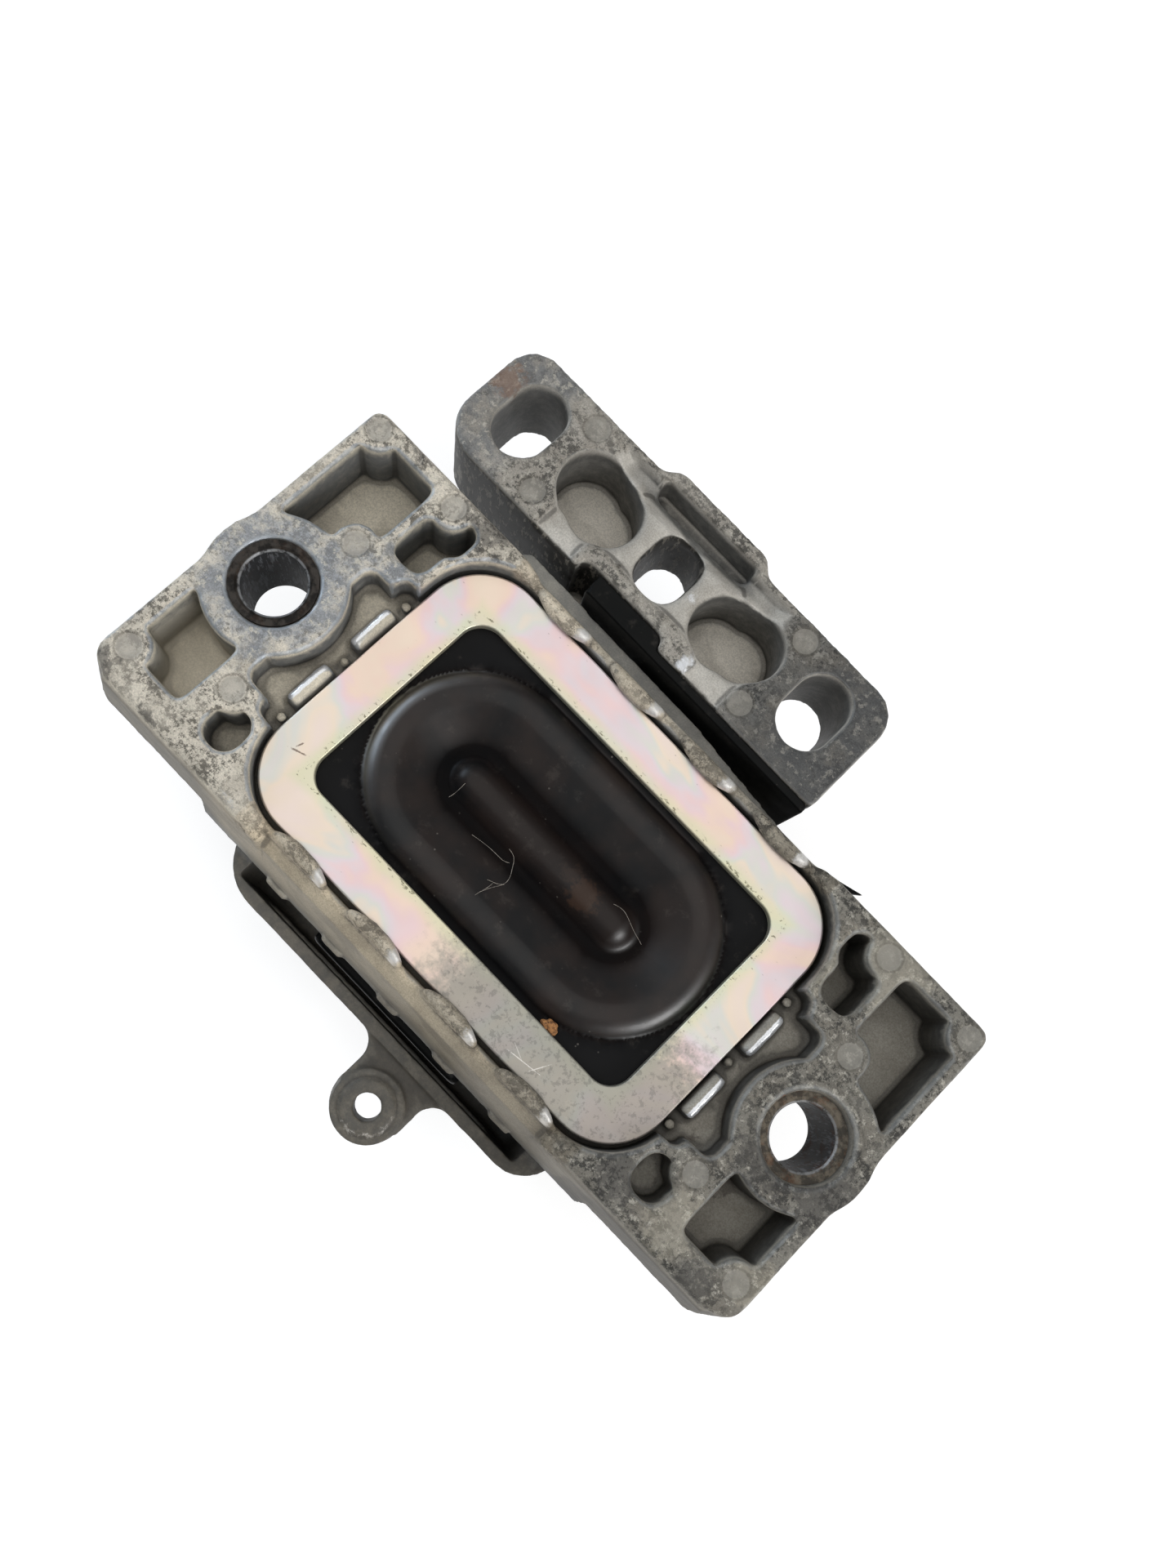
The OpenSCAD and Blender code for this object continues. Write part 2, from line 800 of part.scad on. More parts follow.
bellows_room = roll_edge + 1.2;
channel_w = 4.6;
channel_depth = 7;
channel_inset = 2.2;

module track_tray() {
    color([0.3, 0.3, 0.32]) unit_place() difference() {
        layer(tray_bottom, flange_bottom) round_slab(stack_l, stack_w, cavity_r - stack_gap);
        layer(tray_bottom + tray_floor, flange_bottom + eps) stadium(spine, bellows_room);
        // the channel runs round the tray's edge, open towards the cover
        layer(tray_bottom - eps, tray_bottom + channel_depth) difference() {
            round_slab(stack_l - 2 * channel_inset, stack_w - 2 * channel_inset, cavity_r - 3);
            round_slab(stack_l - 2 * (channel_inset + channel_w),
                       stack_w - 2 * (channel_inset + channel_w), cavity_r - 6);
            translate([-3, 0]) square([6, stack_w]);
        }
        layer(tray_bottom - eps, tray_bottom + membrane_t + 0.3)
            round_slab(membrane_l + 2 * stack_gap, membrane_w + 2 * stack_gap, membrane_r + stack_gap);
        grille();
    }
}

membrane_l = 74;
membrane_w = 38;
membrane_r = 6;

// Slots that let the fluid reach the membrane
module grille() {
    for (x = [-27 : 9 : 27])
        translate([x, 0, 0]) layer(cover_bottom - 1, tray_bottom + tray_floor + 1)
            round_slab(4, membrane_w - 12, 1.9);
}

module decoupler_membrane() {
    color([0.08, 0.08, 0.08]) unit_place() {
        layer(tray_bottom + 0.1, tray_bottom + 0.1 + membrane_t)
            round_slab(membrane_l, membrane_w, membrane_r);
    }
}

module track_cover() {
    color([0.45, 0.46, 0.48]) unit_place() difference() {
        layer(cover_bottom, tray_bottom) round_slab(stack_l, stack_w, cavity_r - stack_gap);
        grille();
        translate([-stack_l / 2 + 12, stack_w / 2 - channel_inset - channel_w / 2, cover_bottom - 1])
            cylinder(d = channel_w, h = cover_t + 2, $fn = 48);
    }
}

// Carrier and main spring

spring_l = stack_l - 15;
spring_w = stack_w - 15;

module spring_carrier() {
    color([0.66, 0.66, 0.66]) unit_place() difference() {
        layer(carrier_bottom, cover_bottom) round_slab(stack_l, stack_w, cavity_r - stack_gap);
        layer(carrier_bottom - eps, cover_bottom + eps) round_slab(spring_l, spring_w, cavity_r - 6);
    }
}

module spring_slab(z, l, w, r) {
    translate([0, 0, z]) linear_extrude(0.2) square([l - 2 * r, w - 2 * r], center = true);
    for (x = [-1, 1], y = [-1, 1]) translate([x * (l / 2 - r), y * (w / 2 - r), z])
        cylinder(r = r, h = 0.2, $fn = 32);
}

// Hollow wedge of rubber between the carrier and the core
module main_spring() {
    color([0.1, 0.1, 0.1]) unit_place() difference() {
        union() {
            layer(carrier_bottom, cover_bottom) round_slab(spring_l, spring_w, cavity_r - 6);
            hull() {
                spring_slab(carrier_bottom, spring_l - 2, spring_w - 2, 7);
                spring_slab(core_top, core_l - 2, core_w - 6, 7);
            }
        }
        hull() {
            spring_slab(cover_bottom, spring_l - 14, spring_w - 14, 6);
            spring_slab(carrier_bottom, spring_l - 42, spring_w - 30, 6);
        }
    }
}

// Arm

core_w = 70;
core_far_y = unit_y - core_w / 2;
neck_right = core_l / 2;
neck_left = neck_right - neck_w;
notch_y = pad_low_y + notch_depth;
buffer_bottom = max(pad_bottom, core_top) + 0.5;
shelf_top = buffer_bottom + 5;
pad_x = arm_x + 0.6;

rib_half = 21;

module slot_plan(w, l) {
    round_rect(-w / 2, -l / 2, w / 2, l / 2, w / 2 - 0.001);
}

module notch_plan() {
    round_rect(arm_x - notch_left, pad_low_y - 9, arm_x + notch_right, notch_y, 3);
}

module pad_plan() {
    difference() {
        union() {
            intersection() {
                round_rect(pad_x - pad_l / 2, pad_low_y - 20, pad_x + pad_l / 2, pad_high_y, 9);
                union() {
                    round_rect(pad_x - pad_l / 2, pad_low_y, pad_x + 20, pad_high_y + 20, 12);
                    round_rect(pad_x, pad_low_y, pad_x + pad_l / 2, pad_high_y + 20, 1.5);
                }
            }
            translate([arm_x, pad_high_y]) polygon([
                [-rib_half, -1],
                [-rib_half, 0],
                [-rib_half + 1.4, 0.6],
                [-rib_half + 4.4, 3.4],
                [-rib_half + 6.4, 4],
                [rib_half - 6.4, 4],
                [rib_half - 4.4, 3.4],
                [rib_half - 1.4, 0.6],
                [rib_half, 0],
                [rib_half, -1]
            ]);
        }
        notch_plan();
    }
}

module twin_pocket_plan(s) {
    translate([arm_x + s * 29, arm_y]) circle(twin_r, $fn = round_fn);
    translate([arm_x + s * 23, arm_y - 1.6]) circle(twin_r, $fn = round_fn);
}

arm_marks = [[-40.2, 11.8], [38.8, 11.8], [-39.2, -13], [38.4, -13]];

module arm_cuts() {
    for (s = [-1, 1]) {
        translate([arm_x + s * slot_pitch, arm_y, 0])
            layer(crown_outer, 0) slot_plan(slot_w, slot_l);
        layer(pad_top - twin_depth, 0) twin_pocket_plan(s);
    }
    translate([arm_x, arm_y - 0.4, 0]) layer(crown_outer, 0) slot_plan(mid_slot_w, mid_slot_l);
    // middle web and the two saddles beside the ridge, lower than the pad
    layer(pad_top - web_drop, 0) {
        round_rect(arm_x - 20, pad_low_y + 8.6, arm_x + 19.6, pad_high_y - 4.5, 3);
        round_rect(arm_x - 32.4, pad_low_y - 9, arm_x - 19.4, pad_low_y + 14, 3);
        round_rect(arm_x + 22, pad_low_y - 9, arm_x + 35, pad_low_y + 14, 3);
    }
    // deep trench behind the outer rib
    layer(pad_top - trench_depth, 0)
        round_rect(arm_x - 17.6, pad_high_y - 4.4, arm_x + 16.8, pad_high_y - 0.1, 2);
    for (p = arm_marks) translate([arm_x + p[0], arm_y + p[1], pad_top - pin_mark_depth])
        cylinder(r = pin_mark_r + 0.4, h = 1, $fn = round_fn);
}

module core_block() {
    layer(core_bottom, core_top)
        round_rect(-core_l / 2, core_far_y, core_l / 2, core_far_y + core_w, 6);
}

// Neck, which leaves the arch's mouth and meets the pad's wall
module neck() {
    layer(core_bottom, core_top)
        round_rect(neck_left, unit_y, neck_right, pad_low_y + 8, 4);
    layer(core_bottom + 14, pad_bottom + 3)
        round_rect(neck_left + 1, notch_y + 0.2, neck_right - 1, pad_low_y + 8, 2);
}

// Gusset between the middle slot and the right one, seen along X
module gusset() {
    along_x(arm_x + notch_right + 0.6, arm_x + slot_pitch - slot_w / 2 - 3) polygon([
        [pad_low_y - 4, core_bottom],
        [pad_low_y + 6, core_bottom],
        [pad_high_y - 5, pad_bottom - 3],
        [pad_high_y - 3, pad_bottom + 4],
        [pad_low_y + 2, pad_bottom + 4],
        [pad_low_y + 2, core_top - 2],
        [pad_low_y - 4, core_top - 2]
    ]);
}

// Shelf that closes the foot of the notch in the pad's wall
module notch_shelf() {
    translate([arm_x - notch_left - 1, pad_low_y, pad_bottom])
        cube([notch_left + notch_right + 2, notch_depth + 1, shelf_top - pad_bottom]);
}

module core_arm() {
    color([0.55, 0.55, 0.54]) difference() {
        union() {
            core_block();
            neck();
            gusset();
            layer(pad_bottom, pad_top) pad_plan();
            notch_shelf();
        }
        arm_cuts();
    }
}

// Buffers

module rebound_buffer() {
    color([0.1, 0.1, 0.1]) difference() {
        layer(rebound_bottom, core_bottom)
            round_rect(-core_l / 2 + 3, core_far_y + 3, core_l / 2 - 3, core_far_y + core_w - 3, 6);
        for (y = [-16, 0, 16]) translate([0, unit_y + y, rebound_bottom - eps])
            layer(0, 2) round_slab(core_l, 4, 1.9);
    }
}

side_buffer_t = leg_inner_x - core_l / 2 - travel_gap;

module side_buffer(side) {
    x0 = core_l / 2;
    color([0.1, 0.1, 0.1]) scale_side(side) along_y(core_far_y + 8, core_far_y + core_w - 8) {
        translate([x0, core_bottom + 2]) square([side_buffer_t - 3, core_t - 4]);
        translate([x0 + side_buffer_t - 3, core_bottom + core_t / 2])
            intersection() {
                circle(core_t / 2 - 3, $fn = 48);
                translate([-1, -core_t]) square([4, 2 * core_t]);
            }
    }
}

module scale_side(side) {
    if (side > 0) children();
    else mirror([1, 0, 0]) children();
}

module side_buffer_left() {
    side_buffer(-1);
}

module side_buffer_right() {
    side_buffer(1);
}

back_gap_y = -arch_far_y + back_wall + travel_gap;

module back_buffer() {
    color([0.1, 0.1, 0.1]) along_y(back_gap_y, core_far_y)
        round_rect(-core_l / 2 + 6, core_bottom + 1, core_l / 2 - 6, core_top - 1, 5);
}

// Plate of rubber on the arm's wall, which also fills the notch in that wall
module arm_buffer() {
    buffer_left = arm_x - buffer_start;
    color([0.1, 0.1, 0.1]) {
        along_y(pad_low_y - wall_buffer_t, pad_low_y)
            round_rect(buffer_left, buffer_bottom, pad_x + pad_l / 2 - 0.6, pad_top - 1, 1.5);
        layer(shelf_top, pad_top - 1) intersection() {
            notch_plan();
            translate([buffer_left, pad_low_y - 0.5]) square([notch_left + notch_right, notch_depth + 1]);
        }
    }
}

// Torn edge of rubber beside the arch's mouth
module edge_lip() {
    leg_face = arch_near_y;
    color([0.1, 0.1, 0.1]) layer(lintel_top - 7, lintel_top - 4.6) polygon([
        [leg_inner_x + 0.4, leg_face],
        [leg_inner_x + 0.4, leg_face + 1.9],
        [leg_inner_x + 4, leg_face + 3],
        [leg_inner_x + 9, leg_face + 4.3],
        [leg_inner_x + 14.4, leg_face + 5.8],
        [arch_x, leg_face + 1],
        [arch_x, leg_face]
    ]);
}

housing();
sleeve_left();
sleeve_right();
clamp_ring();
diaphragm();
track_tray();
decoupler_membrane();
track_cover();
spring_carrier();
main_spring();
core_arm();
rebound_buffer();
side_buffer_left();
side_buffer_right();
back_buffer();
arm_buffer();
edge_lip();
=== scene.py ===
# %% [markdown]
# # A used hydraulic engine mount
#
# The real object is a die-cast aluminium housing with two bolted feet. A zinc-plated ring
# clamps a black rubber diaphragm into it, and four bent lugs on each side hold the ring.
# A second casting, the arm, carries three slots for the engine's bracket.
#
# The sizes come from the CAD model, which is loaded first and never moved. This lesson
# only gives it the look of the real thing: cast skin, worn edges, iridescent zinc, dusty
# rubber and rusty steel.

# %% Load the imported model
import math

import bmesh
import bpy
import numpy as np
from mathutils import Matrix, Vector
from mathutils.bvhtree import BVHTree


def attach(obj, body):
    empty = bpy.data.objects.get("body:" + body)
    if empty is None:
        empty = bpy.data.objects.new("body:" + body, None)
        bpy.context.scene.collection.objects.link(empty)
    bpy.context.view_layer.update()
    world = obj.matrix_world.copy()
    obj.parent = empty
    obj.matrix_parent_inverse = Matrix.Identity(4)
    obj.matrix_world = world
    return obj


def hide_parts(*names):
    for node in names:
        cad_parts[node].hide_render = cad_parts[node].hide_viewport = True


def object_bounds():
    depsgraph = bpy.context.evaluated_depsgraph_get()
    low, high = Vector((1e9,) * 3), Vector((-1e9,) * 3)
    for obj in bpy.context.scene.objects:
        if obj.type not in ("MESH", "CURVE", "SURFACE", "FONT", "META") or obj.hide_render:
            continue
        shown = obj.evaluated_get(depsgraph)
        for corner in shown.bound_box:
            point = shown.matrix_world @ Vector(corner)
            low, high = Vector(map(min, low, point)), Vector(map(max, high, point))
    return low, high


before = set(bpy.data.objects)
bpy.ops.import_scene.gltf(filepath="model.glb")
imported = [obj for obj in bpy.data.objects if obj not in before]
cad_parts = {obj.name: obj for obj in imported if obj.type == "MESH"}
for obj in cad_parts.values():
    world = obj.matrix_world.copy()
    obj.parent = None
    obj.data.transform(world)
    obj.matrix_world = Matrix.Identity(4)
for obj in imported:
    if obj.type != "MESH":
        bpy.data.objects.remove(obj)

MM = 0.001
scene = bpy.context.scene
scene.view_settings.view_transform = "Standard"
cad_low, cad_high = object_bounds()
print("CAD box in mm:", [round(v / MM, 1) for v in (*cad_low, *cad_high)])

# %% [markdown]
# ## The camera
#
# The photograph looks down on the feet from about 0.31 m. Its place and turn were solved
# from the object itself, since both feet are equal and the bolts lie on one line. The three
# vectors below are the camera's own right, up and back, written in the object's frame, and
# they make the columns of its matrix. A 30 mm lens on a 36 mm sensor along the long side
# of the upright picture gives the same perspective.

# %% Place the camera
camera_right = (0.6935, 0.7109, 0.1168)
camera_up = (-0.7194, 0.6745, 0.1658)
camera_back = (0.0391, -0.1990, 0.9792)
camera_place = (0.00810, -0.04193, 0.31169)

lens = bpy.data.cameras.new("camera")
lens.sensor_fit = "VERTICAL"
lens.sensor_width = 36
lens.sensor_height = 36
lens.lens = 30
lens.clip_start = 0.01
camera = bpy.data.objects.new("camera", lens)
scene.collection.objects.link(camera)
turn = Matrix((camera_right, camera_up, camera_back)).transposed().to_quaternion()
camera.rotation_mode = "QUATERNION"
camera.rotation_quaternion = turn
camera.location = camera_place
scene.camera = camera
print("camera at", camera_place, "with a lens of", lens.lens, "mm")

# %% [markdown]
# ## Building shader nodes by hand
#
# A material is a small network, and Python can draw it as well as the mouse can. The first
# helpers add a node and join its inputs, do sums, mix two colours and fill a shader. Colours
# are written as they look on screen, from 0 to 255, and turned into the linear values that
# a shader works in.

# %% Helpers for colours and nodes
def tone(red, green, blue):
    """A screen colour as the linear colour that a socket takes."""
    parts = [part / 255 for part in (red, green, blue)]
    return tuple(
        part / 12.92 if part <= 0.04045 else ((part + 0.055) / 1.055) ** 2.4 for part in parts
    ) + (1.0,)


def fill(tree, node, sockets):
    """Joins a node's input sockets to outputs, or gives them plain values."""
    for name, value in sockets.items():
        if isinstance(value, bpy.types.NodeSocket):
            tree.links.new(value, node.inputs[name])
        else:
            node.inputs[name].default_value = value


def put(tree, kind, sockets=None, **settings):
    """Adds a node, sets its options and fills its input sockets."""
    node = tree.nodes.new(kind)
    for name, value in settings.items():
        setattr(node, name, value)
    fill(tree, node, sockets or {})
    return node


print("helpers ready: tone, fill, put")


# %% Helpers for sums and mixed colours
def sums(tree, operation, first, second=0.0, clamp=False):
    """A Math node's result."""
    node = put(tree, "ShaderNodeMath", {0: first, 1: second}, operation=operation)
    node.use_clamp = clamp
    return node.outputs[0]


def times(tree, first, second):
    """Two values multiplied."""
    return sums(tree, "MULTIPLY", first, second)


def blend(tree, amount, first, second, way="MIX"):
    """Two colours mixed."""
    node = put(tree, "ShaderNodeMix", {0: amount, 6: first, 7: second},
               data_type="RGBA", blend_type=way)
    return node.outputs[2]


def lay(tree, mask, strength, under, over):
    """Lays a colour over another where a mask is, at one strength."""
    return blend(tree, times(tree, mask, strength), under, over)


print("helpers ready: sums, times, blend, lay")

# %% [markdown]
# ## Noise and steps
#
# Nearly every mark of use below is a noise that is cut off softly at some level. A Map Range
# node on smooth step does the cutting, and a noise that swings about zero makes a border
# ragged when it is added to a distance.

# %% Helpers for steps and noise
def step(tree, value, low, high, to_low=0.0, to_high=1.0):
    """A value that rises smoothly from to_low at low to to_high at high."""
    node = put(tree, "ShaderNodeMapRange",
               {"Value": value, "From Min": low, "From Max": high,
                "To Min": to_low, "To Max": to_high},
               interpolation_type="SMOOTHSTEP")
    return node.outputs["Result"]


def clouds(tree, place, scale, detail=3.0, rough=0.55, warp=0.0):
    """Noise from 0 to 1; scale is in features per metre."""
    node = put(tree, "ShaderNodeTexNoise",
               {"Vector": place, "Scale": scale, "Detail": detail,
                "Roughness": rough, "Distortion": warp})
    return node.outputs["Fac"]


def swing(tree, noise, amount):
    """A noise from 0 to 1 turned into one that swings about zero."""
    return times(tree, sums(tree, "SUBTRACT", noise, 0.5), amount)


print("helpers ready: step, clouds, swing")


# %% Helpers for places
def stretch(tree, place, factors, shift=(0.0, 0.0, 0.0)):
    """The place scaled by one factor along each axis, so that a pattern grows long."""
    node = put(tree, "ShaderNodeMapping",
               {"Vector": place, "Scale": factors, "Location": shift})
    return node.outputs["Vector"]


def shifted(tree, place, shift):
    """The place moved along, so that two noises of one kind don't coincide."""
    return stretch(tree, place, (1.0, 1.0, 1.0), shift)


def axis(tree, place, name):
    """One coordinate of a place."""
    return put(tree, "ShaderNodeSeparateXYZ", {"Vector": place}).outputs[name]


def vector_sum(tree, operation, first, second=(0.0, 0.0, 0.0)):
    """A Vector Math node, whose output is a vector or, for a length, a value."""
    node = put(tree, "ShaderNodeVectorMath", {0: first}, operation=operation)
    if operation not in ("LENGTH", "ABSOLUTE"):
        fill(tree, node, {1: second})
    return node.outputs["Value" if operation in ("LENGTH", "DISTANCE") else "Vector"]


print("helpers ready: stretch, shifted, axis, vector_sum")

# %% [markdown]
# ## Groups that several finishes share
#
# A node group is a small machine with labelled inputs and outputs. Grain, dirt and stains
# turn up on metal and rubber alike, so each is built once and placed in a material with its
# own values. A group here puts out only masks, colours, values and heights, and the shader
# itself stays in the material.

# %% Helpers that start, finish and place a group
def new_group(name, takes, gives):
    """An empty shader group with named sockets; returns the tree, its input and its output."""
    tree = bpy.data.node_groups.new(name, "ShaderNodeTree")
    kinds = {"value": "NodeSocketFloat", "colour": "NodeSocketColor", "place": "NodeSocketVector"}
    for label, kind in takes.items():
        tree.interface.new_socket(name=label, in_out="INPUT", socket_type=kinds[kind])
    for label, kind in gives.items():
        tree.interface.new_socket(name=label, in_out="OUTPUT", socket_type=kinds[kind])
    return tree, tree.nodes.new("NodeGroupInput").outputs, tree.nodes.new("NodeGroupOutput")


def use_group(tree, group, sockets):
    """Places a group in a material and fills its inputs."""
    node = tree.nodes.new("ShaderNodeGroup")
    node.node_tree = group
    fill(tree, node, sockets)
    return node.outputs


print("helpers ready: new_group, use_group")

# %% Group: a ragged spot at one place
spot_group, takes, gives = new_group(
    "ragged_spot",
    {"Place": "place", "Centre": "place", "Reach": "value", "Ragged": "value"},
    {"Mask": "value"},
)
away = vector_sum(spot_group, "DISTANCE", takes["Place"], takes["Centre"])
share = sums(spot_group, "DIVIDE", away, takes["Reach"])
torn = swing(spot_group, clouds(spot_group, takes["Place"], 420.0, 5.0, 0.65), takes["Ragged"])
border = sums(spot_group, "ADD", share, torn)
fill(spot_group, gives, {"Mask": step(spot_group, border, 1.0, 0.55)})
print("group", spot_group.name)

# %% Group: fine dust and lint, as pale points
dust_group, takes, gives = new_group(
    "fine_dust", {"Place": "place", "Scale": "value", "Amount": "value"}, {"Mask": "value"}
)
cells = put(dust_group, "ShaderNodeTexVoronoi",
            {"Vector": takes["Place"], "Scale": takes["Scale"], "Randomness": 1.0})
point = step(dust_group, cells.outputs["Distance"], 0.13, 0.05)
lucky = put(dust_group, "ShaderNodeSeparateColor", {"Color": cells.outputs["Color"]}).outputs[0]
lucky = step(dust_group, lucky, 0.72, 0.80)
drift = step(dust_group, clouds(dust_group, takes["Place"], 55.0, 2.0), 0.38, 0.62)
mask = times(dust_group, times(dust_group, point, lucky), drift)
mask = sums(dust_group, "MULTIPLY", mask, takes["Amount"], clamp=True)
fill(dust_group, gives, {"Mask": mask})
print("group", dust_group.name)

# %% [markdown]
# ## Cast aluminium skin
#
# Die-cast aluminium that has been on a car for years isn't one grey. The faces that were
# bolted down are mottled: warm grey-beige with dark grains, cream crumbs of corrosion and
# smooth bluish patches where they were rubbed. The floors of the pockets stay even and
# beige. Every rounded edge is paler, partly from wear and partly as a painted highlight, and
# the walls, the pockets and the inner corners get painted shade with some grime. One group
# makes all of that from masks that each casting carries on its mesh: *skin* for how grainy
# it is, *edge* for how sharply it bends, *cool* for where it was rubbed smooth, one for the
# painted shade and grime, and one for the few places that are rubbed bright or carry a
# painted highlight.

# %% Group: cast skin, its masks
cast_group, takes, gives = new_group(
    "cast_skin",
    {"Place": "place", "Skin": "value", "Edge": "value", "Cool": "value", "Grime_and_shade": "value",
     "Grains": "value", "Face colour": "colour", "Floor colour": "colour",
     "Cool colour": "colour", "Grain colour": "colour", "Crumb colour": "colour",
     "Grime colour": "colour", "Rim colour": "colour", "Polish_and_highlight": "value"},
    {"Color": "colour", "Roughness": "value", "Metallic": "value", "Height": "value"},
)
tree, place = cast_group, takes["Place"]
broad = clouds(tree, place, 70.0, 4.0, 0.6, 0.4)
patches = clouds(tree, shifted(tree, place, (0.31, 0.17, 0.0)), 210.0, 4.0, 0.6)
grains = clouds(tree, place, 620.0, 8.0, 0.80)
crumbs = clouds(tree, shifted(tree, place, (0.07, 0.41, 0.2)), 430.0, 8.0, 0.76)
dense = clouds(tree, shifted(tree, place, (0.83, 0.29, 0.0)), 62.0, 3.0, 0.6)
fine = clouds(tree, place, 2400.0, 2.0, 0.6)

cool_mask = sums(tree, "ADD", takes["Cool"], sums(tree, "SUBTRACT", patches, 0.55))
cool_mask = times(tree, step(tree, cool_mask, 0.25, 0.60), takes["Skin"])
grain_level = sums(tree, "ADD", grains, swing(tree, patches, 0.45))
grain_mask = times(tree, step(tree, grain_level, 0.475, 0.555), takes["Skin"])
grain_mask = times(tree, grain_mask, step(tree, dense, 0.38, 0.58, 0.50, 1.0))
grain_mask = times(tree, grain_mask, takes["Grains"])
uncooled = sums(tree, "SUBTRACT", 1.0, times(tree, cool_mask, 0.5))
grain_mask = times(tree, grain_mask, uncooled)
crumb_mask = times(tree, step(tree, crumbs, 0.535, 0.60), takes["Skin"])
# Paler rims: partly wear, partly a painted highlight where the rounding catches light.
worn = sums(tree, "ADD", takes["Edge"], swing(tree, grains, 0.7))
worn_and_highlit_rim = step(tree, worn, 0.25, 0.75)
# Painted shade in the concave corners, where the bend turns negative.
corner_shade = step(tree, takes["Edge"], -0.10, -0.60)
# Near-white metal: partly rubbed bright, partly a painted highlight.
rubbed_and_highlit = sums(tree, "ADD", takes["Polish_and_highlight"], swing(tree, grains, 1.1))
rubbed_and_highlit = times(tree, step(tree, rubbed_and_highlit, 0.30, 0.62), step(tree, takes["Polish_and_highlight"], 0.02, 0.15))
print("masks of", cast_group.name, "take", len(tree.nodes), "nodes")

# %% Group: cast skin, its colour
colour = blend(tree, takes["Skin"], takes["Floor colour"], takes["Face colour"])
colour = lay(tree, step(tree, broad, 0.42, 0.64), 0.35, colour, tone(104, 96, 84))
colour = lay(tree, cool_mask, 0.80, colour, takes["Cool colour"])
colour = blend(tree, grain_mask, colour, takes["Grain colour"])
colour = lay(tree, crumb_mask, 0.70, colour, takes["Crumb colour"])
fine_tone = step(tree, fine, 0.25, 0.75, 0.80, 1.16)
fine_grey = put(tree, "ShaderNodeCombineColor", {0: fine_tone, 1: fine_tone, 2: fine_tone})
colour = blend(tree, 1.0, colour, fine_grey.outputs[0], "MULTIPLY")
# Painted shade with some grime on the walls, in the pockets and low down, in patches.
shade_and_grime_patches = step(tree, clouds(tree, place, 330.0, 4.0, 0.7), 0.35, 0.70, 0.93, 0.78)
colour = lay(tree, takes["Grime_and_shade"], shade_and_grime_patches, colour, takes["Grime colour"])
# Paler rims, partly wear and partly a painted highlight, then painted shade in the corners.
colour = lay(tree, worn_and_highlit_rim, 0.55, colour, takes["Rim colour"])
colour = lay(tree, corner_shade, 0.60, colour, tone(48, 45, 41))
# Near-white metal, partly rubbed bright and partly a painted highlight.
colour = blend(tree, rubbed_and_highlit, colour, tone(226, 228, 231))
fill(tree, gives, {"Color": colour})
print("with its colour,", cast_group.name, "takes", len(tree.nodes), "nodes")

# %% Group: cast skin, its gloss and height
rough = sums(tree, "ADD", 0.56, times(tree, grain_mask, 0.20))
rough = sums(tree, "SUBTRACT", rough, times(tree, cool_mask, 0.12))
rough = sums(tree, "SUBTRACT", rough, times(tree, worn_and_highlit_rim, 0.16))
rough = sums(tree, "SUBTRACT", rough, times(tree, rubbed_and_highlit, 0.16))
metal = sums(tree, "ADD", 0.12, times(tree, worn_and_highlit_rim, 0.40), clamp=True)
metal = sums(tree, "MAXIMUM", metal, times(tree, rubbed_and_highlit, 0.60))
metal = sums(tree, "SUBTRACT", metal, times(tree, takes["Grime_and_shade"], 0.12), clamp=True)
bumps = times(tree, swing(tree, grains, takes["Skin"]), 1.8)
height = sums(tree, "ADD", bumps, times(tree, fine, 0.25))
height = sums(tree, "SUBTRACT", height, times(tree, grain_mask, 0.40))
fill(tree, gives, {"Roughness": rough, "Metallic": metal, "Height": height})
print("group", cast_group.name, "with", len(tree.nodes), "nodes")

# %% [markdown]
# ## Materials and their small marks
#
# Each material starts from one Principled shader and the object's own coordinates, in
# metres. A rust spot, a scratch or a border between two tones is then placed by its real
# position in millimetres, so it stays where it is from any side.

# %% Helpers that start a material
def new_material(name):
    """A material with its Principled shader and the object's own coordinates."""
    material = bpy.data.materials.new(name)
    material.use_nodes = True
    tree = material.node_tree
    tree.nodes.clear()
    shader = put(tree, "ShaderNodeBsdfPrincipled")
    put(tree, "ShaderNodeOutputMaterial", {"Surface": shader.outputs["BSDF"]})
    place = put(tree, "ShaderNodeTexCoord").outputs["Object"]
    return material, tree, shader, place


def bump(tree, shader, height, depth, strength=1.0):
    """Feeds a height through a Bump node into the shader's normal; depth is in metres."""
    node = put(tree, "ShaderNodeBump", {"Height": height, "Distance": depth, "Strength": strength})
    fill(tree, shader, {"Normal": node.outputs["Normal"]})


def read_mask(tree, name, output="Fac"):
    """A mask that the mesh carries as an attribute."""
    return put(tree, "ShaderNodeAttribute", attribute_name=name).outputs[output]


def from_left(tree, place, scale, wander, start, end):
    """A mask that rises along X between two places, in millimetres, with a wandering border."""
    drift = swing(tree, clouds(tree, place, scale, 3.0), wander * MM)
    along = sums(tree, "ADD", axis(tree, place, "X"), drift)
    return step(tree, along, start * MM, end * MM)


print("helpers ready: new_material, bump, read_mask, from_left")


# %% Helpers for spots and scratches
def spot(tree, place, centre, reach, ragged):
    """The mask of a ragged spot, with its centre and reach in millimetres."""
    return use_group(tree, spot_group, {"Place": place, "Centre": tuple(c * MM for c in centre),
                                        "Reach": reach * MM, "Ragged": ragged})["Mask"]


def add_spots(tree, place, colour, spots, ragged, strength, over, where=1.0):
    """Lays ragged spots of one colour, each given as its centre and reach."""
    for centre, reach in spots:
        mask = times(tree, spot(tree, place, centre, reach, ragged), where)
        colour = lay(tree, mask, strength, colour, over)
    return colour


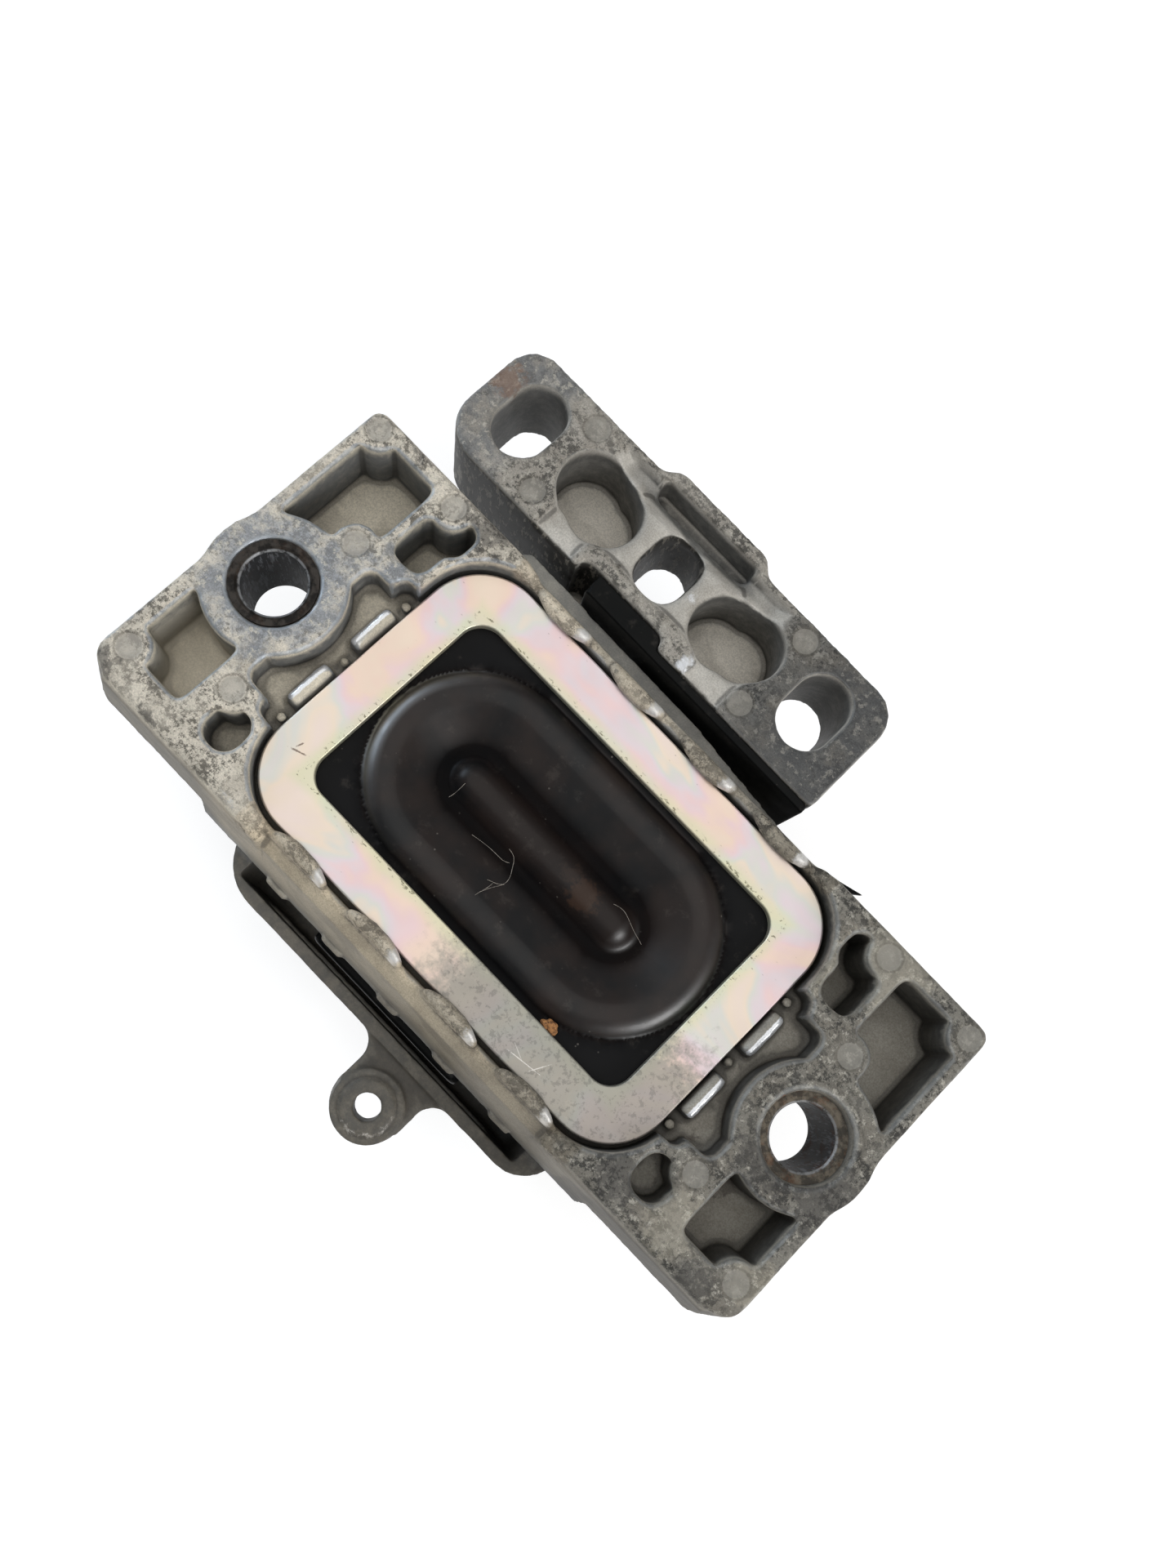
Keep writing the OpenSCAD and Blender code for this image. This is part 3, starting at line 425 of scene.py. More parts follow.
def scratch(tree, place, centre, angle, length, width):
    """The mask of a thin ragged stroke on a flat face, in millimetres and degrees."""
    local = put(tree, "ShaderNodeMapping",
                {"Vector": place, "Location": tuple(c * MM for c in centre),
                 "Rotation": (0.0, 0.0, math.radians(angle)),
                 "Scale": (length * MM, width * MM, 3 * MM)},
                vector_type="TEXTURE")
    away = vector_sum(tree, "LENGTH", local.outputs["Vector"])
    torn = swing(tree, clouds(tree, place, 1500.0, 3.0), 1.6)
    return step(tree, sums(tree, "ADD", away, torn), 1.0, 0.5)


print("helpers ready: spot, add_spots, scratch")


# %% Helpers that both castings' materials use
def pin_marks(tree, colour, radius, strength, disc, groove):
    """Colours the discs that the mould's ejector pins left, and the groove round each."""
    away = vector_sum(tree, "LENGTH", read_mask(tree, "mark", "Vector"))
    inside = step(tree, away, radius * MM, (radius - 0.3) * MM)
    ring = times(tree, step(tree, away, (radius - 0.2) * MM, (radius + 0.15) * MM),
                 step(tree, away, (radius + 0.8) * MM, (radius + 0.3) * MM))
    colour = lay(tree, inside, strength, colour, disc)
    return lay(tree, ring, 0.45, colour, groove)


def finish_casting(tree, shader, colour, skin):
    """Fills a casting's shader from its colour and its cast skin."""
    fill(tree, shader, {"Base Color": colour, "Roughness": skin["Roughness"],
                        "Metallic": skin["Metallic"]})
    shader.inputs["Specular IOR Level"].default_value = 0.35
    bump(tree, shader, skin["Height"], 0.14 * MM, 0.9)


print("helpers ready: pin_marks, finish_casting")

# %% [markdown]
# ## The housing's finish
#
# The left foot is pale and beige, and the right foot is darker: painted light and shade, as
# if the light fell from the left. So most colours are blended between two tones along X, with
# a border that wanders.

# %% Material: the housing's casting
housing_finish, tree, shader, place = new_material("cast_housing_finish")
# Painted light and shade: lighter on the left foot, shaded towards the right.
darker = from_left(tree, place, 45.0, 60.0, -55.0, 75.0)
on_skin = read_mask(tree, "skin")
skin = use_group(tree, cast_group, {
    "Place": place, "Skin": on_skin, "Edge": read_mask(tree, "edge"),
    "Cool": read_mask(tree, "cool"), "Grime_and_shade": read_mask(tree, "grime_and_shade"),
    "Grains": step(tree, darker, 0.2, 0.9, 0.84, 0.95), "Polish_and_highlight": read_mask(tree, "polish_and_highlight"),
    "Face colour": blend(tree, darker, tone(212, 204, 189), tone(121, 118, 110)),
    "Floor colour": blend(tree, darker, tone(212, 204, 186), tone(158, 154, 144)),
    "Cool colour": tone(132, 139, 148),
    "Grain colour": blend(tree, darker, tone(72, 68, 61), tone(56, 55, 52)),
    "Crumb colour": blend(tree, darker, tone(204, 198, 183), tone(178, 174, 163)),
    "Rim colour": blend(tree, darker, tone(172, 180, 188), tone(150, 151, 149)),
    "Grime colour": blend(tree, darker, tone(92, 95, 98), tone(50, 50, 49))})
print("material", housing_finish.name, "has its cast skin")

# %% The housing's pale, sooty, brown and rusty places
pale_spots = (
    ((79.9, 43.2, 0.0), 14.0), ((84.4, -35.8, 0.0), 10.0), ((68.4, 31.4, 0.0), 8.0),
    ((107.0, -32.6, 0.0), 8.0),
)
sooty_spots = (
    ((106.4, -7.5, 0.0), 13.0), ((89.2, -11.6, 0.0), 9.0), ((116.1, 16.6, 0.0), 8.0),
    ((-68.6, 49.7, 0.0), 9.0), ((-105.3, -43.8, 0.0), 5.0), ((-114.5, 37.7, 0.0), 6.0),
    ((67.1, -37.5, 0.0), 8.0), ((106.3, -49.6, 0.0), 7.0), ((94.8, -42.5, 0.0), 6.0),
    ((-108.5, -45.0, 0.0), 4.0), ((-91.9, 51.0, 0.0), 4.0), ((-88.5, -45.5, 0.0), 4.0),
)
lit_floor = (((-99.0, -25.8, -19.0), 22.0),)
rust_spots = (((82.5, 2.2, -1.5), 2.0), ((83.1, 6.8, -1.5), 1.2))
floor_stains = (((79.0, -24.0, -19.0), 9.0), ((88.0, -20.0, -19.0), 6.0))

colour = add_spots(tree, place, skin["Color"], pale_spots, 2.0, 0.30, tone(184, 177, 160), on_skin)
colour = add_spots(tree, place, colour, sooty_spots, 3.4, 0.62, tone(62, 60, 58), on_skin)
off_skin = sums(tree, "SUBTRACT", 1.0, on_skin)
colour = add_spots(tree, place, colour, lit_floor, 0.8, 0.35, tone(238, 228, 206), off_skin)
brown = times(tree, read_mask(tree, "brown"), 0.75)
colour = blend(tree, brown, colour, (0.92, 0.83, 0.70, 1.0), "MULTIPLY")
disc = blend(tree, darker, tone(172, 167, 157), tone(142, 139, 131))
colour = pin_marks(tree, colour, 3.3, 0.62, disc, tone(92, 88, 80))
colour = add_spots(tree, place, colour, rust_spots, 1.8, 0.8, tone(140, 84, 46))
colour = add_spots(tree, place, colour, floor_stains, 3.2, 0.55, tone(64, 54, 46))
finish_casting(tree, shader, colour, skin)
print("material", housing_finish.name, "with", len(tree.nodes), "nodes")

# %% [markdown]
# ## The arm's finish
#
# The arm is the same alloy but darker at its right end. Its *wall* mask marks the side
# towards the housing, nearly black from dark metal and painted shade in the narrow gap, with
# pale streaks that run down it.

# %% Material: the arm's casting
arm_finish, tree, shader, place = new_material("cast_arm_finish")
darker = from_left(tree, place, 90.0, 40.0, -14.0, 14.0)
sunk = step(tree, axis(tree, place, "Z"), -17.0 * MM, -24.0 * MM)
skin = use_group(tree, cast_group, {
    "Place": place, "Skin": read_mask(tree, "skin"), "Edge": read_mask(tree, "edge"),
    "Cool": read_mask(tree, "cool"), "Grime_and_shade": read_mask(tree, "grime_and_shade"), "Grains": 0.85,
    "Polish_and_highlight": read_mask(tree, "polish_and_highlight"),
    "Face colour": blend(tree, darker, tone(160, 155, 146), tone(92, 91, 88)),
    "Floor colour": blend(tree, sunk, tone(186, 182, 174), tone(222, 216, 204)),
    "Cool colour": blend(tree, darker, tone(106, 108, 110), tone(74, 75, 76)),
    "Grain colour": blend(tree, darker, tone(64, 62, 58), tone(48, 48, 47)),
    "Crumb colour": blend(tree, darker, tone(176, 171, 160), tone(134, 131, 124)),
    "Rim colour": tone(152, 153, 152), "Grime colour": tone(72, 72, 70)})

rust_spots = (((-97.5, 84.0, -12.0), 5.5),)
pits = (((-49.0, 72.0, -13.6), 2.2), ((-41.0, 70.0, -13.6), 1.4), ((-30.0, 90.0, -13.6), 1.5),
        ((-12.0, 84.0, -13.6), 1.3), ((-53.0, 86.0, -13.6), 1.2))
colour = pin_marks(tree, skin["Color"], 3.6, 0.55, tone(148, 144, 135), tone(84, 80, 72))
colour = add_spots(tree, place, colour, rust_spots, 2.4, 0.60, tone(124, 96, 78))
wall = read_mask(tree, "wall")
streaks = clouds(tree, stretch(tree, place, (1.0, 1.0, 0.28)), 520.0, 4.0, 0.7)
streaks = times(tree, step(tree, streaks, 0.53, 0.60), wall)
# Dark metal with painted shade on the wall towards the housing and in the middle slot.
colour = lay(tree, wall, 0.93, colour, tone(32, 30, 26))
colour = lay(tree, streaks, 0.7, colour, tone(140, 134, 124))
colour = add_spots(tree, place, colour, pits, 2.4, 0.75, tone(62, 57, 50))
finish_casting(tree, shader, colour, skin)
print("material", arm_finish.name, "with", len(tree.nodes), "nodes")

# %% [markdown]
# ## From a CAD solid to a casting
#
# CAD edges are perfectly sharp, and a casting has none that are. A voxel remesh lays an
# even skin over the solid and rounds every edge by about half a millimetre, as the mould
# does. Two Displace modifiers then add the low waves of a cast surface and the small nicks
# along its edges. A Decimate modifier brings the count down where the surface is flat.
#
# Before that, the script measures how sharply the skin bends: it smooths a copy and sees
# how far each point moved along its normal. Points on an outer edge move inwards, and
# points in a corner move outwards.

# %% Helpers for meshes as arrays
def points_and_normals(mesh):
    """A mesh's points and their normals as arrays."""
    count = len(mesh.vertices)
    points = np.empty(count * 3)
    normals = np.empty(count * 3, dtype=np.float32)
    mesh.vertices.foreach_get("co", points)
    mesh.vertex_normals.foreach_get("vector", normals)
    return points.reshape(-1, 3), normals.reshape(-1, 3)


def move_points(mesh, points):
    """Writes an array of points back to a mesh."""
    mesh.vertices.foreach_set("co", points.ravel())
    mesh.update()


print("helpers ready: points_and_normals, move_points")


# %% Helpers that smooth a mesh and measure its bends
def softened(mesh, rounds):
    """The points of a mesh after some rounds of moving each towards its neighbours."""
    points, _ = points_and_normals(mesh)
    pairs = np.empty(len(mesh.edges) * 2, dtype=np.int64)
    mesh.edges.foreach_get("vertices", pairs)
    left, right = pairs.reshape(-1, 2).T
    degree = np.bincount(pairs, minlength=len(points)).clip(1)
    for _ in range(rounds):
        total = np.empty_like(points)
        for column in range(3):
            total[:, column] = (
                np.bincount(left, weights=points[right, column], minlength=len(points))
                + np.bincount(right, weights=points[left, column], minlength=len(points))
            )
        points = 0.5 * points + 0.5 * total / degree[:, None]
    return points


def bend_of(mesh, rounds, reach):
    """How sharply each point's surroundings bend: 1 on an outer edge, -1 in a corner."""
    points, normals = points_and_normals(mesh)
    moved = ((points - softened(mesh, rounds)) * normals).sum(axis=1)
    return np.clip(moved / reach, -1, 1)


def melt(mesh, rounds, weights):
    """Moves each point towards its softened place by its own weight."""
    points, _ = points_and_normals(mesh)
    move_points(mesh, points + (softened(mesh, rounds) - points) * weights[:, None])


print("helpers ready: softened, bend_of, melt")


# %% Helpers that shape a mask
def rise(values, low, high):
    """A smooth step from 0 at low to 1 at high, for arrays."""
    share = np.clip((values - low) / (high - low), 0, 1)
    return share * share * (3 - 2 * share)


def band(values, start, full, leave, end):
    """A mask that rises from start to full, stays at 1, and falls from leave to end."""
    return rise(values, start, full) * rise(-values, -end, -leave)


def bell(values, width):
    """A mask that is 1 where the values are 0 and fades away on both sides."""
    return np.exp(-((values / width) ** 2))


print("helpers ready: rise, band, bell")


# %% Helpers that store a mask on a mesh
def add_mask(mesh, name, values):
    """Writes one number per point as an attribute that a shader can read."""
    layer = mesh.attributes.get(name) or mesh.attributes.new(name, "FLOAT", "POINT")
    layer.data.foreach_set("value", np.asarray(values, dtype=np.float32))


def stored_mask(mesh, name):
    """Reads such a mask back."""
    values = np.empty(len(mesh.vertices), dtype=np.float32)
    mesh.attributes[name].data.foreach_get("value", values)
    return values


def add_marks(mesh, centres, level, reach=8 * MM):
    """Stores the way from each point near a face to its nearest mark, in metres."""
    points, _ = points_and_normals(mesh)
    centres = np.array(centres) * MM
    ways = points[:, None, :2] - centres[None]
    nearest = (ways ** 2).sum(axis=2).argmin(axis=1)
    way = np.zeros((len(points), 3), dtype=np.float32)
    way[:, :2] = ways[np.arange(len(points)), nearest]
    way[:, 2] = np.where(np.abs(points[:, 2] - level) < 1.2 * MM, 0, reach)
    layer = mesh.attributes.new("mark", "FLOAT_VECTOR", "POINT")
    layer.data.foreach_set("vector", way.ravel())


print("helpers ready: add_mask, stored_mask, add_marks")


# %% Helpers that copy and dress a piece
def settle(piece):
    """Applies a piece's modifiers to its mesh."""
    graph = bpy.context.evaluated_depsgraph_get()
    made = bpy.data.meshes.new_from_object(piece.evaluated_get(graph))
    piece.modifiers.clear()
    old = piece.data
    piece.data = made
    bpy.data.meshes.remove(old)


def copy_node(node, name):
    """A copy of a CAD node whose loose triangles are joined, with its place in its mesh."""
    mesh = bpy.data.meshes.new(name)
    bm = bmesh.new()
    bm.from_mesh(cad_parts[node].data)
    bmesh.ops.remove_doubles(bm, verts=bm.verts, dist=0.002 * MM)
    bm.to_mesh(mesh)
    bm.free()
    piece = bpy.data.objects.new(name, mesh)
    scene.collection.objects.link(piece)
    return piece


def wear(piece, finish):
    """Gives a piece one finish."""
    piece.data.materials.clear()
    piece.data.materials.append(finish)


print("helpers ready: settle, copy_node, wear")


# %% Helpers that give a piece its skin
def reskin(piece, voxel, rounds):
    """Lays an even skin over a piece and smooths it by some rounds."""
    remesh = piece.modifiers.new("skin", "REMESH")
    remesh.mode = "VOXEL"
    remesh.voxel_size = voxel
    soften = piece.modifiers.new("soften", "SMOOTH")
    soften.factor = 0.5
    soften.iterations = rounds
    settle(piece)


def thin_out(piece, triangles):
    """Brings a piece down to about so many triangles; returns how many it had before."""
    count = sum(len(face.vertices) - 2 for face in piece.data.polygons)
    thin = piece.modifiers.new("thin", "DECIMATE")
    thin.ratio = min(1.0, triangles / count)
    settle(piece)
    piece.data.shade_smooth()
    return count


def add_waves(piece, name, size, depth, group=""):
    """Displaces a piece along its normals by clouds of one size."""
    pattern = bpy.data.textures.new(name, "CLOUDS")
    pattern.noise_scale = size
    pattern.noise_depth = 2
    waves = piece.modifiers.new(name, "DISPLACE")
    waves.texture = pattern
    waves.texture_coords = "LOCAL"
    waves.strength = depth
    waves.mid_level = 0.5
    if group:
        waves.vertex_group = group


print("helpers ready: reskin, thin_out, add_waves")


# %% A CAD node remade as a casting
def cast_copy(node, name, voxel, triangles, melted):
    """A CAD node remade as a casting, with its edge mask on the mesh.

    melted gets the points in millimetres and the edge mask, and returns pairs of rounds
    and weights for the places that are rounded more."""
    piece = copy_node(node, name)
    reskin(piece, voxel, 3)
    edge = bend_of(piece.data, 14, 0.55 * voxel)
    points, _ = points_and_normals(piece.data)
    for rounds, where in melted(points / MM, edge):
        melt(piece.data, rounds, where)
    add_mask(piece.data, "edge", edge)

    # the nicks are deepest on the sharpest edges, by a vertex group in five levels
    group = piece.vertex_groups.new(name="nicked")
    weights = rise(edge, 0.15, 0.6)
    for level in range(1, 6):
        low, high = (level - 0.5) / 5, (level + 0.5) / 5
        chosen = np.nonzero((weights > low) & (weights <= high))[0]
        if len(chosen):
            group.add(chosen.tolist(), level / 5, "REPLACE")
    add_waves(piece, name + "_waves", 7 * MM, 0.22 * MM)
    add_waves(piece, name + "_nicks", 1.6 * MM, 0.35 * MM, "nicked")
    count = thin_out(piece, triangles)
    piece.vertex_groups.clear()
    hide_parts(node)
    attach(piece, "root")
    print(name, "from", count, "to", len(piece.data.polygons), "triangles")
    return piece


# %% [markdown]
# ## The housing
#
# The housing is the largest piece: feet with pockets, the ring's seat, the lugs and the
# arch below. It is one casting, so it stays one mesh. The rims of its pockets, the lugs and
# the bars are softened more than the rest, as on the real casting.

# %% Remake the housing
bolt_x = 92.7
unit_y, bars_y = 3.3, 0.3
lug_start, lug_end_x = 41.0, 56.0
tab_centre = (15.4, -72.0)


def housing_rims(points, edge):
    """The rims of the feet and their pockets, and the staked lugs, are worn round."""
    x, y, z = points.T
    rims = rise(edge, 0.05, 0.35) * rise(z, -4.0, -1.6)
    staked = rise(z, -10.0, -8.0) * rise(np.abs(y - unit_y), lug_start, lug_start + 1)
    staked = staked * (np.abs(x) < lug_end_x)
    bars = band(np.abs(x), 66, 67, 73.5, 75) * rise(-np.abs(y - bars_y), -20, -19)
    return [(24, rims), (9, staked), (14, bars * rise(z, -10, -9))]


housing = cast_copy("housing", "housing_casting", 0.55 * MM, 185000, housing_rims)

# %% [markdown]
# The tab's hole looks a little smaller than its drill, because the skin is drawn in round
# it. The round marks of the mould's ejector pins are so exact that a mesh of this size
# can't draw them, so each point stores the way to its nearest mark, and the material turns
# that into a crisp circle.

# %% Draw in the tab's hole and store the pin marks
tab_points, _ = points_and_normals(housing.data)
from_hole = tab_points[:, :2] / MM - tab_centre
radius = np.hypot(*from_hole.T)
inwards = 0.45 * rise(-radius, -7.0, -4.6)
tab_points[:, :2] -= from_hole * (inwards / radius.clip(1.0))[:, None] * MM
move_points(housing.data, tab_points)

left_marks = [(-105.0, 45.9), (-77.4, 45.6), (-86.8, 21.4), (-103.5, -35.5), (-79.4, -24.8)]
add_marks(housing.data, left_marks + [(-x, y) for x, y in left_marks], 0.0)
print("pin marks on the feet:", 2 * len(left_marks))

# %% [markdown]
# Now the masks. Each is a few smooth steps in height, place and slope, multiplied where all
# of them have to hold. The *skin* is grainy on the feet's faces and on the lugs.

# %% The housing's skin, its brown tone, and painted shade with grime
points, normals = points_and_normals(housing.data)
x, y, z = points.T / MM
up = normals[:, 2]
from_unit = np.abs(y - unit_y)
on_top = rise(z, -2.2, -0.8) * rise(up, 0.2, 0.7)
on_lugs = rise(z, -7.5, -5.0) * rise(from_unit, lug_start, lug_start + 1) * (np.abs(x) < lug_end_x)
outside = rise(-z, 1.5, 4.0) * rise(-np.abs(up), -0.5, -0.2)
lug_skin = on_lugs * np.where(y > 0, 0.95, 0.75)
add_mask(housing.data, "skin", np.clip(on_top + lug_skin + 0.12 * outside, 0, 1))

# Painted shade with some grime on steep walls, deep pockets, low parts and the feet's outer sides.
steep = rise(-up, -0.75, -0.35) * rise(-z, 1.2, 3.5)
deep = rise(-z, 9.0, 12.0) * (np.abs(x) < 70)
low = rise(-z, 20.0, 34.0)
bare = rise(-y, 39.0, 41.0) * rise(z, -42.0, -38.0)
below = bare * rise(y, -50.0, -49.0) * rise(-z, 1.5, 3.5)
rail = rise(-y, 49.5, 51.5) * (np.abs(x) < 60)
add_mask(housing.data, "brown", np.maximum.reduce([below, 0.6 * on_lugs, rail]))

bare = bare * (1 - 0.72 * rise(np.abs(x), 60, 72))
grime_and_shade = np.maximum(steep, 0.75 * deep) * (1 - 0.8 * on_lugs) * (1 - 0.65 * bare) + 0.3 * low
# The feet's outer sides get more painted shade on the right; the rail is simply darker.
soiled = np.where(x > 0, 0.85, 0.50) * outside * rise(np.abs(x), 70, 76)
add_mask(housing.data, "grime_and_shade", np.clip(np.maximum.reduce([grime_and_shade, rail, soiled]), 0, 1))
print("skin, brown and grime on", len(points), "points")

# %% [markdown]
# The bars, one end of every lug, two spots on the ring's seat and the rim of the tab's boss
# are near-white metal: partly rubbed bright and partly a painted highlight where light from
# the side catches them. Where the boss round a bolt was clamped, the skin is smooth and cool.

# %% The housing's polished, highlighted and cool places
edge = stored_mask(housing.data, "edge")
# Painted highlights, with some polish, on the bars, the lugs' ends, the seat and the tab's boss.
bar_top_highlights = rise(z, -6.4, -5.4) * band(np.abs(x), 68.6, 70.0, 72.4, 73.4)
bar_top_highlights = bar_top_highlights * rise(-np.abs(np.abs(y - bars_y) - 10.4), -7.2, -6.2)
lug_end_highlights = np.zeros(len(points))
for lug_x in (-39.0, -13.0, 13.0, 39.0):
    lug_end_highlights = np.maximum(lug_end_highlights, bell(x - lug_x - 6.8, 2.7))
lug_end_highlights = 0.60 * lug_end_highlights * on_lugs * rise(z, -6.5, -4.0) * rise(-from_unit, -49.5, -47.5)
seat_highlights = np.zeros(len(points))
for seat_x, seat_y in ((-63.0, 43.3), (-59.8, -41.3)):
    seat_highlights = np.maximum(seat_highlights, bell(np.hypot(x - seat_x, y - seat_y), 5.0))
seat_highlights = 0.45 * seat_highlights * rise(edge, 0.05, 0.3) * rise(z, -6.0, -4.0)
on_tab = (x - tab_centre[0], y - tab_centre[1])
boss_rim_highlight = bell(np.hypot(*on_tab) - 7.4, 1.5) * rise(on_tab[0] - on_tab[1], -3.0, 7.0)
boss_rim_highlight = 0.37 * boss_rim_highlight * rise(z, -45.5, -44.2) * rise(up, 0.2, 0.6)
add_mask(housing.data, "polish_and_highlight", np.maximum.reduce([bar_top_highlights, lug_end_highlights, seat_highlights, boss_rim_highlight]))

near_left = bell(np.hypot(x + bolt_x, y), 26.0)
near_right = bell(np.hypot(x - bolt_x, y), 20.0)
rib = bell(np.hypot((x + 74) / 9, (y - 30) / 16), 1.0)
cool = 0.75 * near_left + 0.35 * near_right + 0.4 * rib
add_mask(housing.data, "cool", np.clip(cool, 0, 1))
print("polished points:", int((stored_mask(housing.data, "polish_and_highlight") > 0.3).sum()))

# %% [markdown]
# A pale edge is partly wear and partly a painted highlight, and only the upper rims keep it.
# So the *edge* mask fades away on the feet's outer rims, the lugs and the rail. In the gap
# behind the rail and in the small pockets it turns negative, which the material shows as
# painted shade.

# %% The housing's edges
from_boss = np.stack([x - np.sign(x) * bolt_x, y - 4.0], axis=1)
distance = np.hypot(*from_boss.T)
sideways = np.hypot(*normals[:, :2].T).clip(0.05)
facing_out = (from_boss * normals[:, :2]).sum(axis=1) / distance / sideways
far_out = np.maximum(rise(distance, 23, 26), rise(np.abs(x), 106, 108))
outer = rise(facing_out, 0.25, 0.6) * far_out
upper = rise(z, -9.0, -6.0) * (1 - 0.85 * outer)
upper = upper * (1 - 0.7 * on_lugs) * (1 - 0.85 * rise(-y, 49.5, 51.0))
edge = np.where(edge > 0, edge * (0.06 + 0.94 * upper), edge)
# Painted shade on the walls of the gap behind the rail, and in the small pockets.
in_gap = band(-y, 41.0, 43.0, 57.0, 58.2) * rise(-z, 12.5, 15.0) * (np.abs(x) < 64)
gap_walls = np.maximum(rise(normals[:, 1], -0.4, -0.1), rise(-z, 43, 46))
in_gap = in_gap * gap_walls * (up < 0.7)
in_pocket = 0.45 * deep * (x > 60)
# The rail's edges are made darker instead of paler.
rail_darkening = 0.36 * rail * rise(y, -66.0, -62.0)
add_mask(housing.data, "edge", edge * (1 - in_gap) - in_gap - in_pocket - rail_darkening)
wear(housing, housing_finish)
print("edges with dirt:", int((stored_mask(housing.data, "edge") < -0.3).sum()), "points")

# %% [markdown]
# ## The arm
#
# The arm is its own casting, darker and more granular at its two ends and smooth between
# them, where nothing ever touched it. Its middle web isn't flat: it runs down into the
# trench along the outer rib, so the copy's points are lowered there by up to 4.5 mm.

# %% Remake the arm
slot_x, slot_y = -31.4, 79.0


def arm_rims(points, edge):
    """The pad's rims are worn round, and its smooth middle web has no steps left."""
    x, y, z = points.T
    rims = rise(edge, 0.05, 0.35) * rise(z, -16.0, -13.6)
    web = band(x, -68, -64, 2, 6) * band(y, 63, 65, 96, 97.5) * rise(z, -17, -15.5)
    trench_rim = band(x, -60, -56, -8, -4) * band(y, 86.5, 88.5, 92.5, 93.5)
    return [(18, rims), (40, web), (50, trench_rim * rise(z, -22, -19))]


arm = cast_copy("core_arm", "arm_casting", 0.5 * MM, 150000, arm_rims)

web_points, _ = points_and_normals(arm.data)
x, y, z = web_points.T / MM
slope = band(x, -64.0, -58.0, -5.0, 2.0) * band(y, 87.0, 93.6, 95.0, 96.0)
lowered = 4.5 * slope * rise(z, -24.0, -15.0)
web_points[:, 2] -= lowered * MM
move_points(arm.data, web_points)
add_marks(arm.data, [(-71.6, 92.5), (7.4, 92.5), (-70.6, 67.7), (7.0, 67.7)], -12.0 * MM)
print("the web lies up to", round(float(lowered.max()), 1), "mm lower at the trench")

# %% [markdown]
# Its wall towards the housing is dark and streaked on the left, partly dark metal and partly
# painted shade in the narrow gap, and rubber covers the rest. The walls of the middle slot get
# the same painted shade, so both share the *wall* mask.

# %% The arm's masks
points, normals = points_and_normals(arm.data)
x, y, z = points.T / MM
up = normals[:, 2]
face = rise(z, -13.2, -12.4) * rise(up, 0.3, 0.8)
rib = rise(y, 96.5, 98.0) * rise(z, -14.0, -12.5)
sides = rise(-z, 12.5, 15.0) * rise(-np.abs(up), -0.5, -0.2)
add_mask(arm.data, "skin", np.clip(face + rib + 0.15 * sides, 0, 1))
add_mask(arm.data, "cool", 0.55 * rise(np.abs(x - slot_x), 40, 52))

# The wall towards the housing: dark metal and painted shade in the narrow gap.
front = rise(-normals[:, 1], 0.25, 0.6) * rise(-y, -75.0, -72.0)
corner = rise(-x, 84.0, 88.0) * rise(-normals[:, 0], 0.3, 0.6) * rise(-y, -82.0, -76.0)
wall = np.maximum(front, corner) * band(z, -45, -43, -13.5, -12.3)
trench = band(y, 90, 91, 96, 97.5) * rise(-z, 15.0, 18.0)
steep = rise(-up, -0.75, -0.35) * rise(-z, 13.5, 16.0)
# Painted shade on the walls of the middle slot.
slot_wall_shade = rise(-np.hypot(x - slot_x, y - slot_y), -13.0, -11.0) * steep
add_mask(arm.data, "wall", np.maximum(wall, 0.8 * slot_wall_shade))
# Painted shade with some grime on steep walls, in the trench and low down.
grime_and_shade = np.maximum(steep, trench) + 0.3 * rise(-z, 30, 44)
add_mask(arm.data, "grime_and_shade", np.clip(grime_and_shade, 0, 1))

# Paler rims, partly wear and partly a painted highlight, are weaker in the middle of the arm.
edge = stored_mask(arm.data, "edge")
middle = band(x, -68, -62, 2, 8)
edge = np.where(edge > 0, edge * (0.55 - 0.45 * middle) * rise(z, -16.0, -13.5), edge)
add_mask(arm.data, "edge", edge - slot_wall_shade)
# A painted highlight on the saddle's fillet, and a rubbed scuff.
saddle_highlight = bell(np.hypot((x + 10.2) / 2.6, (y - 64.1) / 5.0), 1.0)
scuff = bell(np.hypot(x + 21.7, y - 78.7), 2.6)
polish_and_highlight = (0.60 * saddle_highlight + 0.45 * scuff) * rise(z, -18.0, -16.0) * rise(up, 0.2, 0.6)
add_mask(arm.data, "polish_and_highlight", polish_and_highlight)
wear(arm, arm_finish)
print("masks on the arm's", len(points), "points")

# %% [markdown]
# ## Plated zinc
#
# The ring is sheet steel with yellow-passivated zinc. A film a few hundred nanometres
# thick gives it slow bands of pink, cream, lilac and green. A real film would change with
# the viewing angle, and a baked material can't, so the bands are painted by a broad noise
# and a colour ramp, and the shader stays a plain smooth metal.

# %% Material: passivated zinc, its film
zinc_finish, tree, shader, place = new_material("passivated_zinc_finish")
bands = clouds(tree, stretch(tree, place, (1.0, 1.3, 1.0), (0.02, 0.05, 0.0)), 26.0, 3.0, 0.5, 0.8)
film = put(tree, "ShaderNodeValToRGB", {"Fac": step(tree, bands, 0.28, 0.72)})
stops = film.color_ramp.elements
stops[0].color = tone(224, 208, 190)
stops[0].position = 0.0
stops[1].color = tone(222, 206, 200)
stops[1].position = 1.0
for position, stop in ((0.22, tone(226, 203, 188)), (0.40, tone(222, 197, 198)),
                       (0.55, tone(214, 202, 206)), (0.68, tone(208, 207, 200)),
                       (0.80, tone(224, 209, 192))):
    stops.new(position).color = stop
colour = film.outputs["Color"]
print("film with", len(stops), "stops")

# %% [markdown]
# Towards the inner edge the film is greener, with dark dashes where the press cut it. The
# distance from that edge comes from folding the place about the ring's middle: the larger
# of the two overshoots past the opening's half sizes is the distance from its sides.

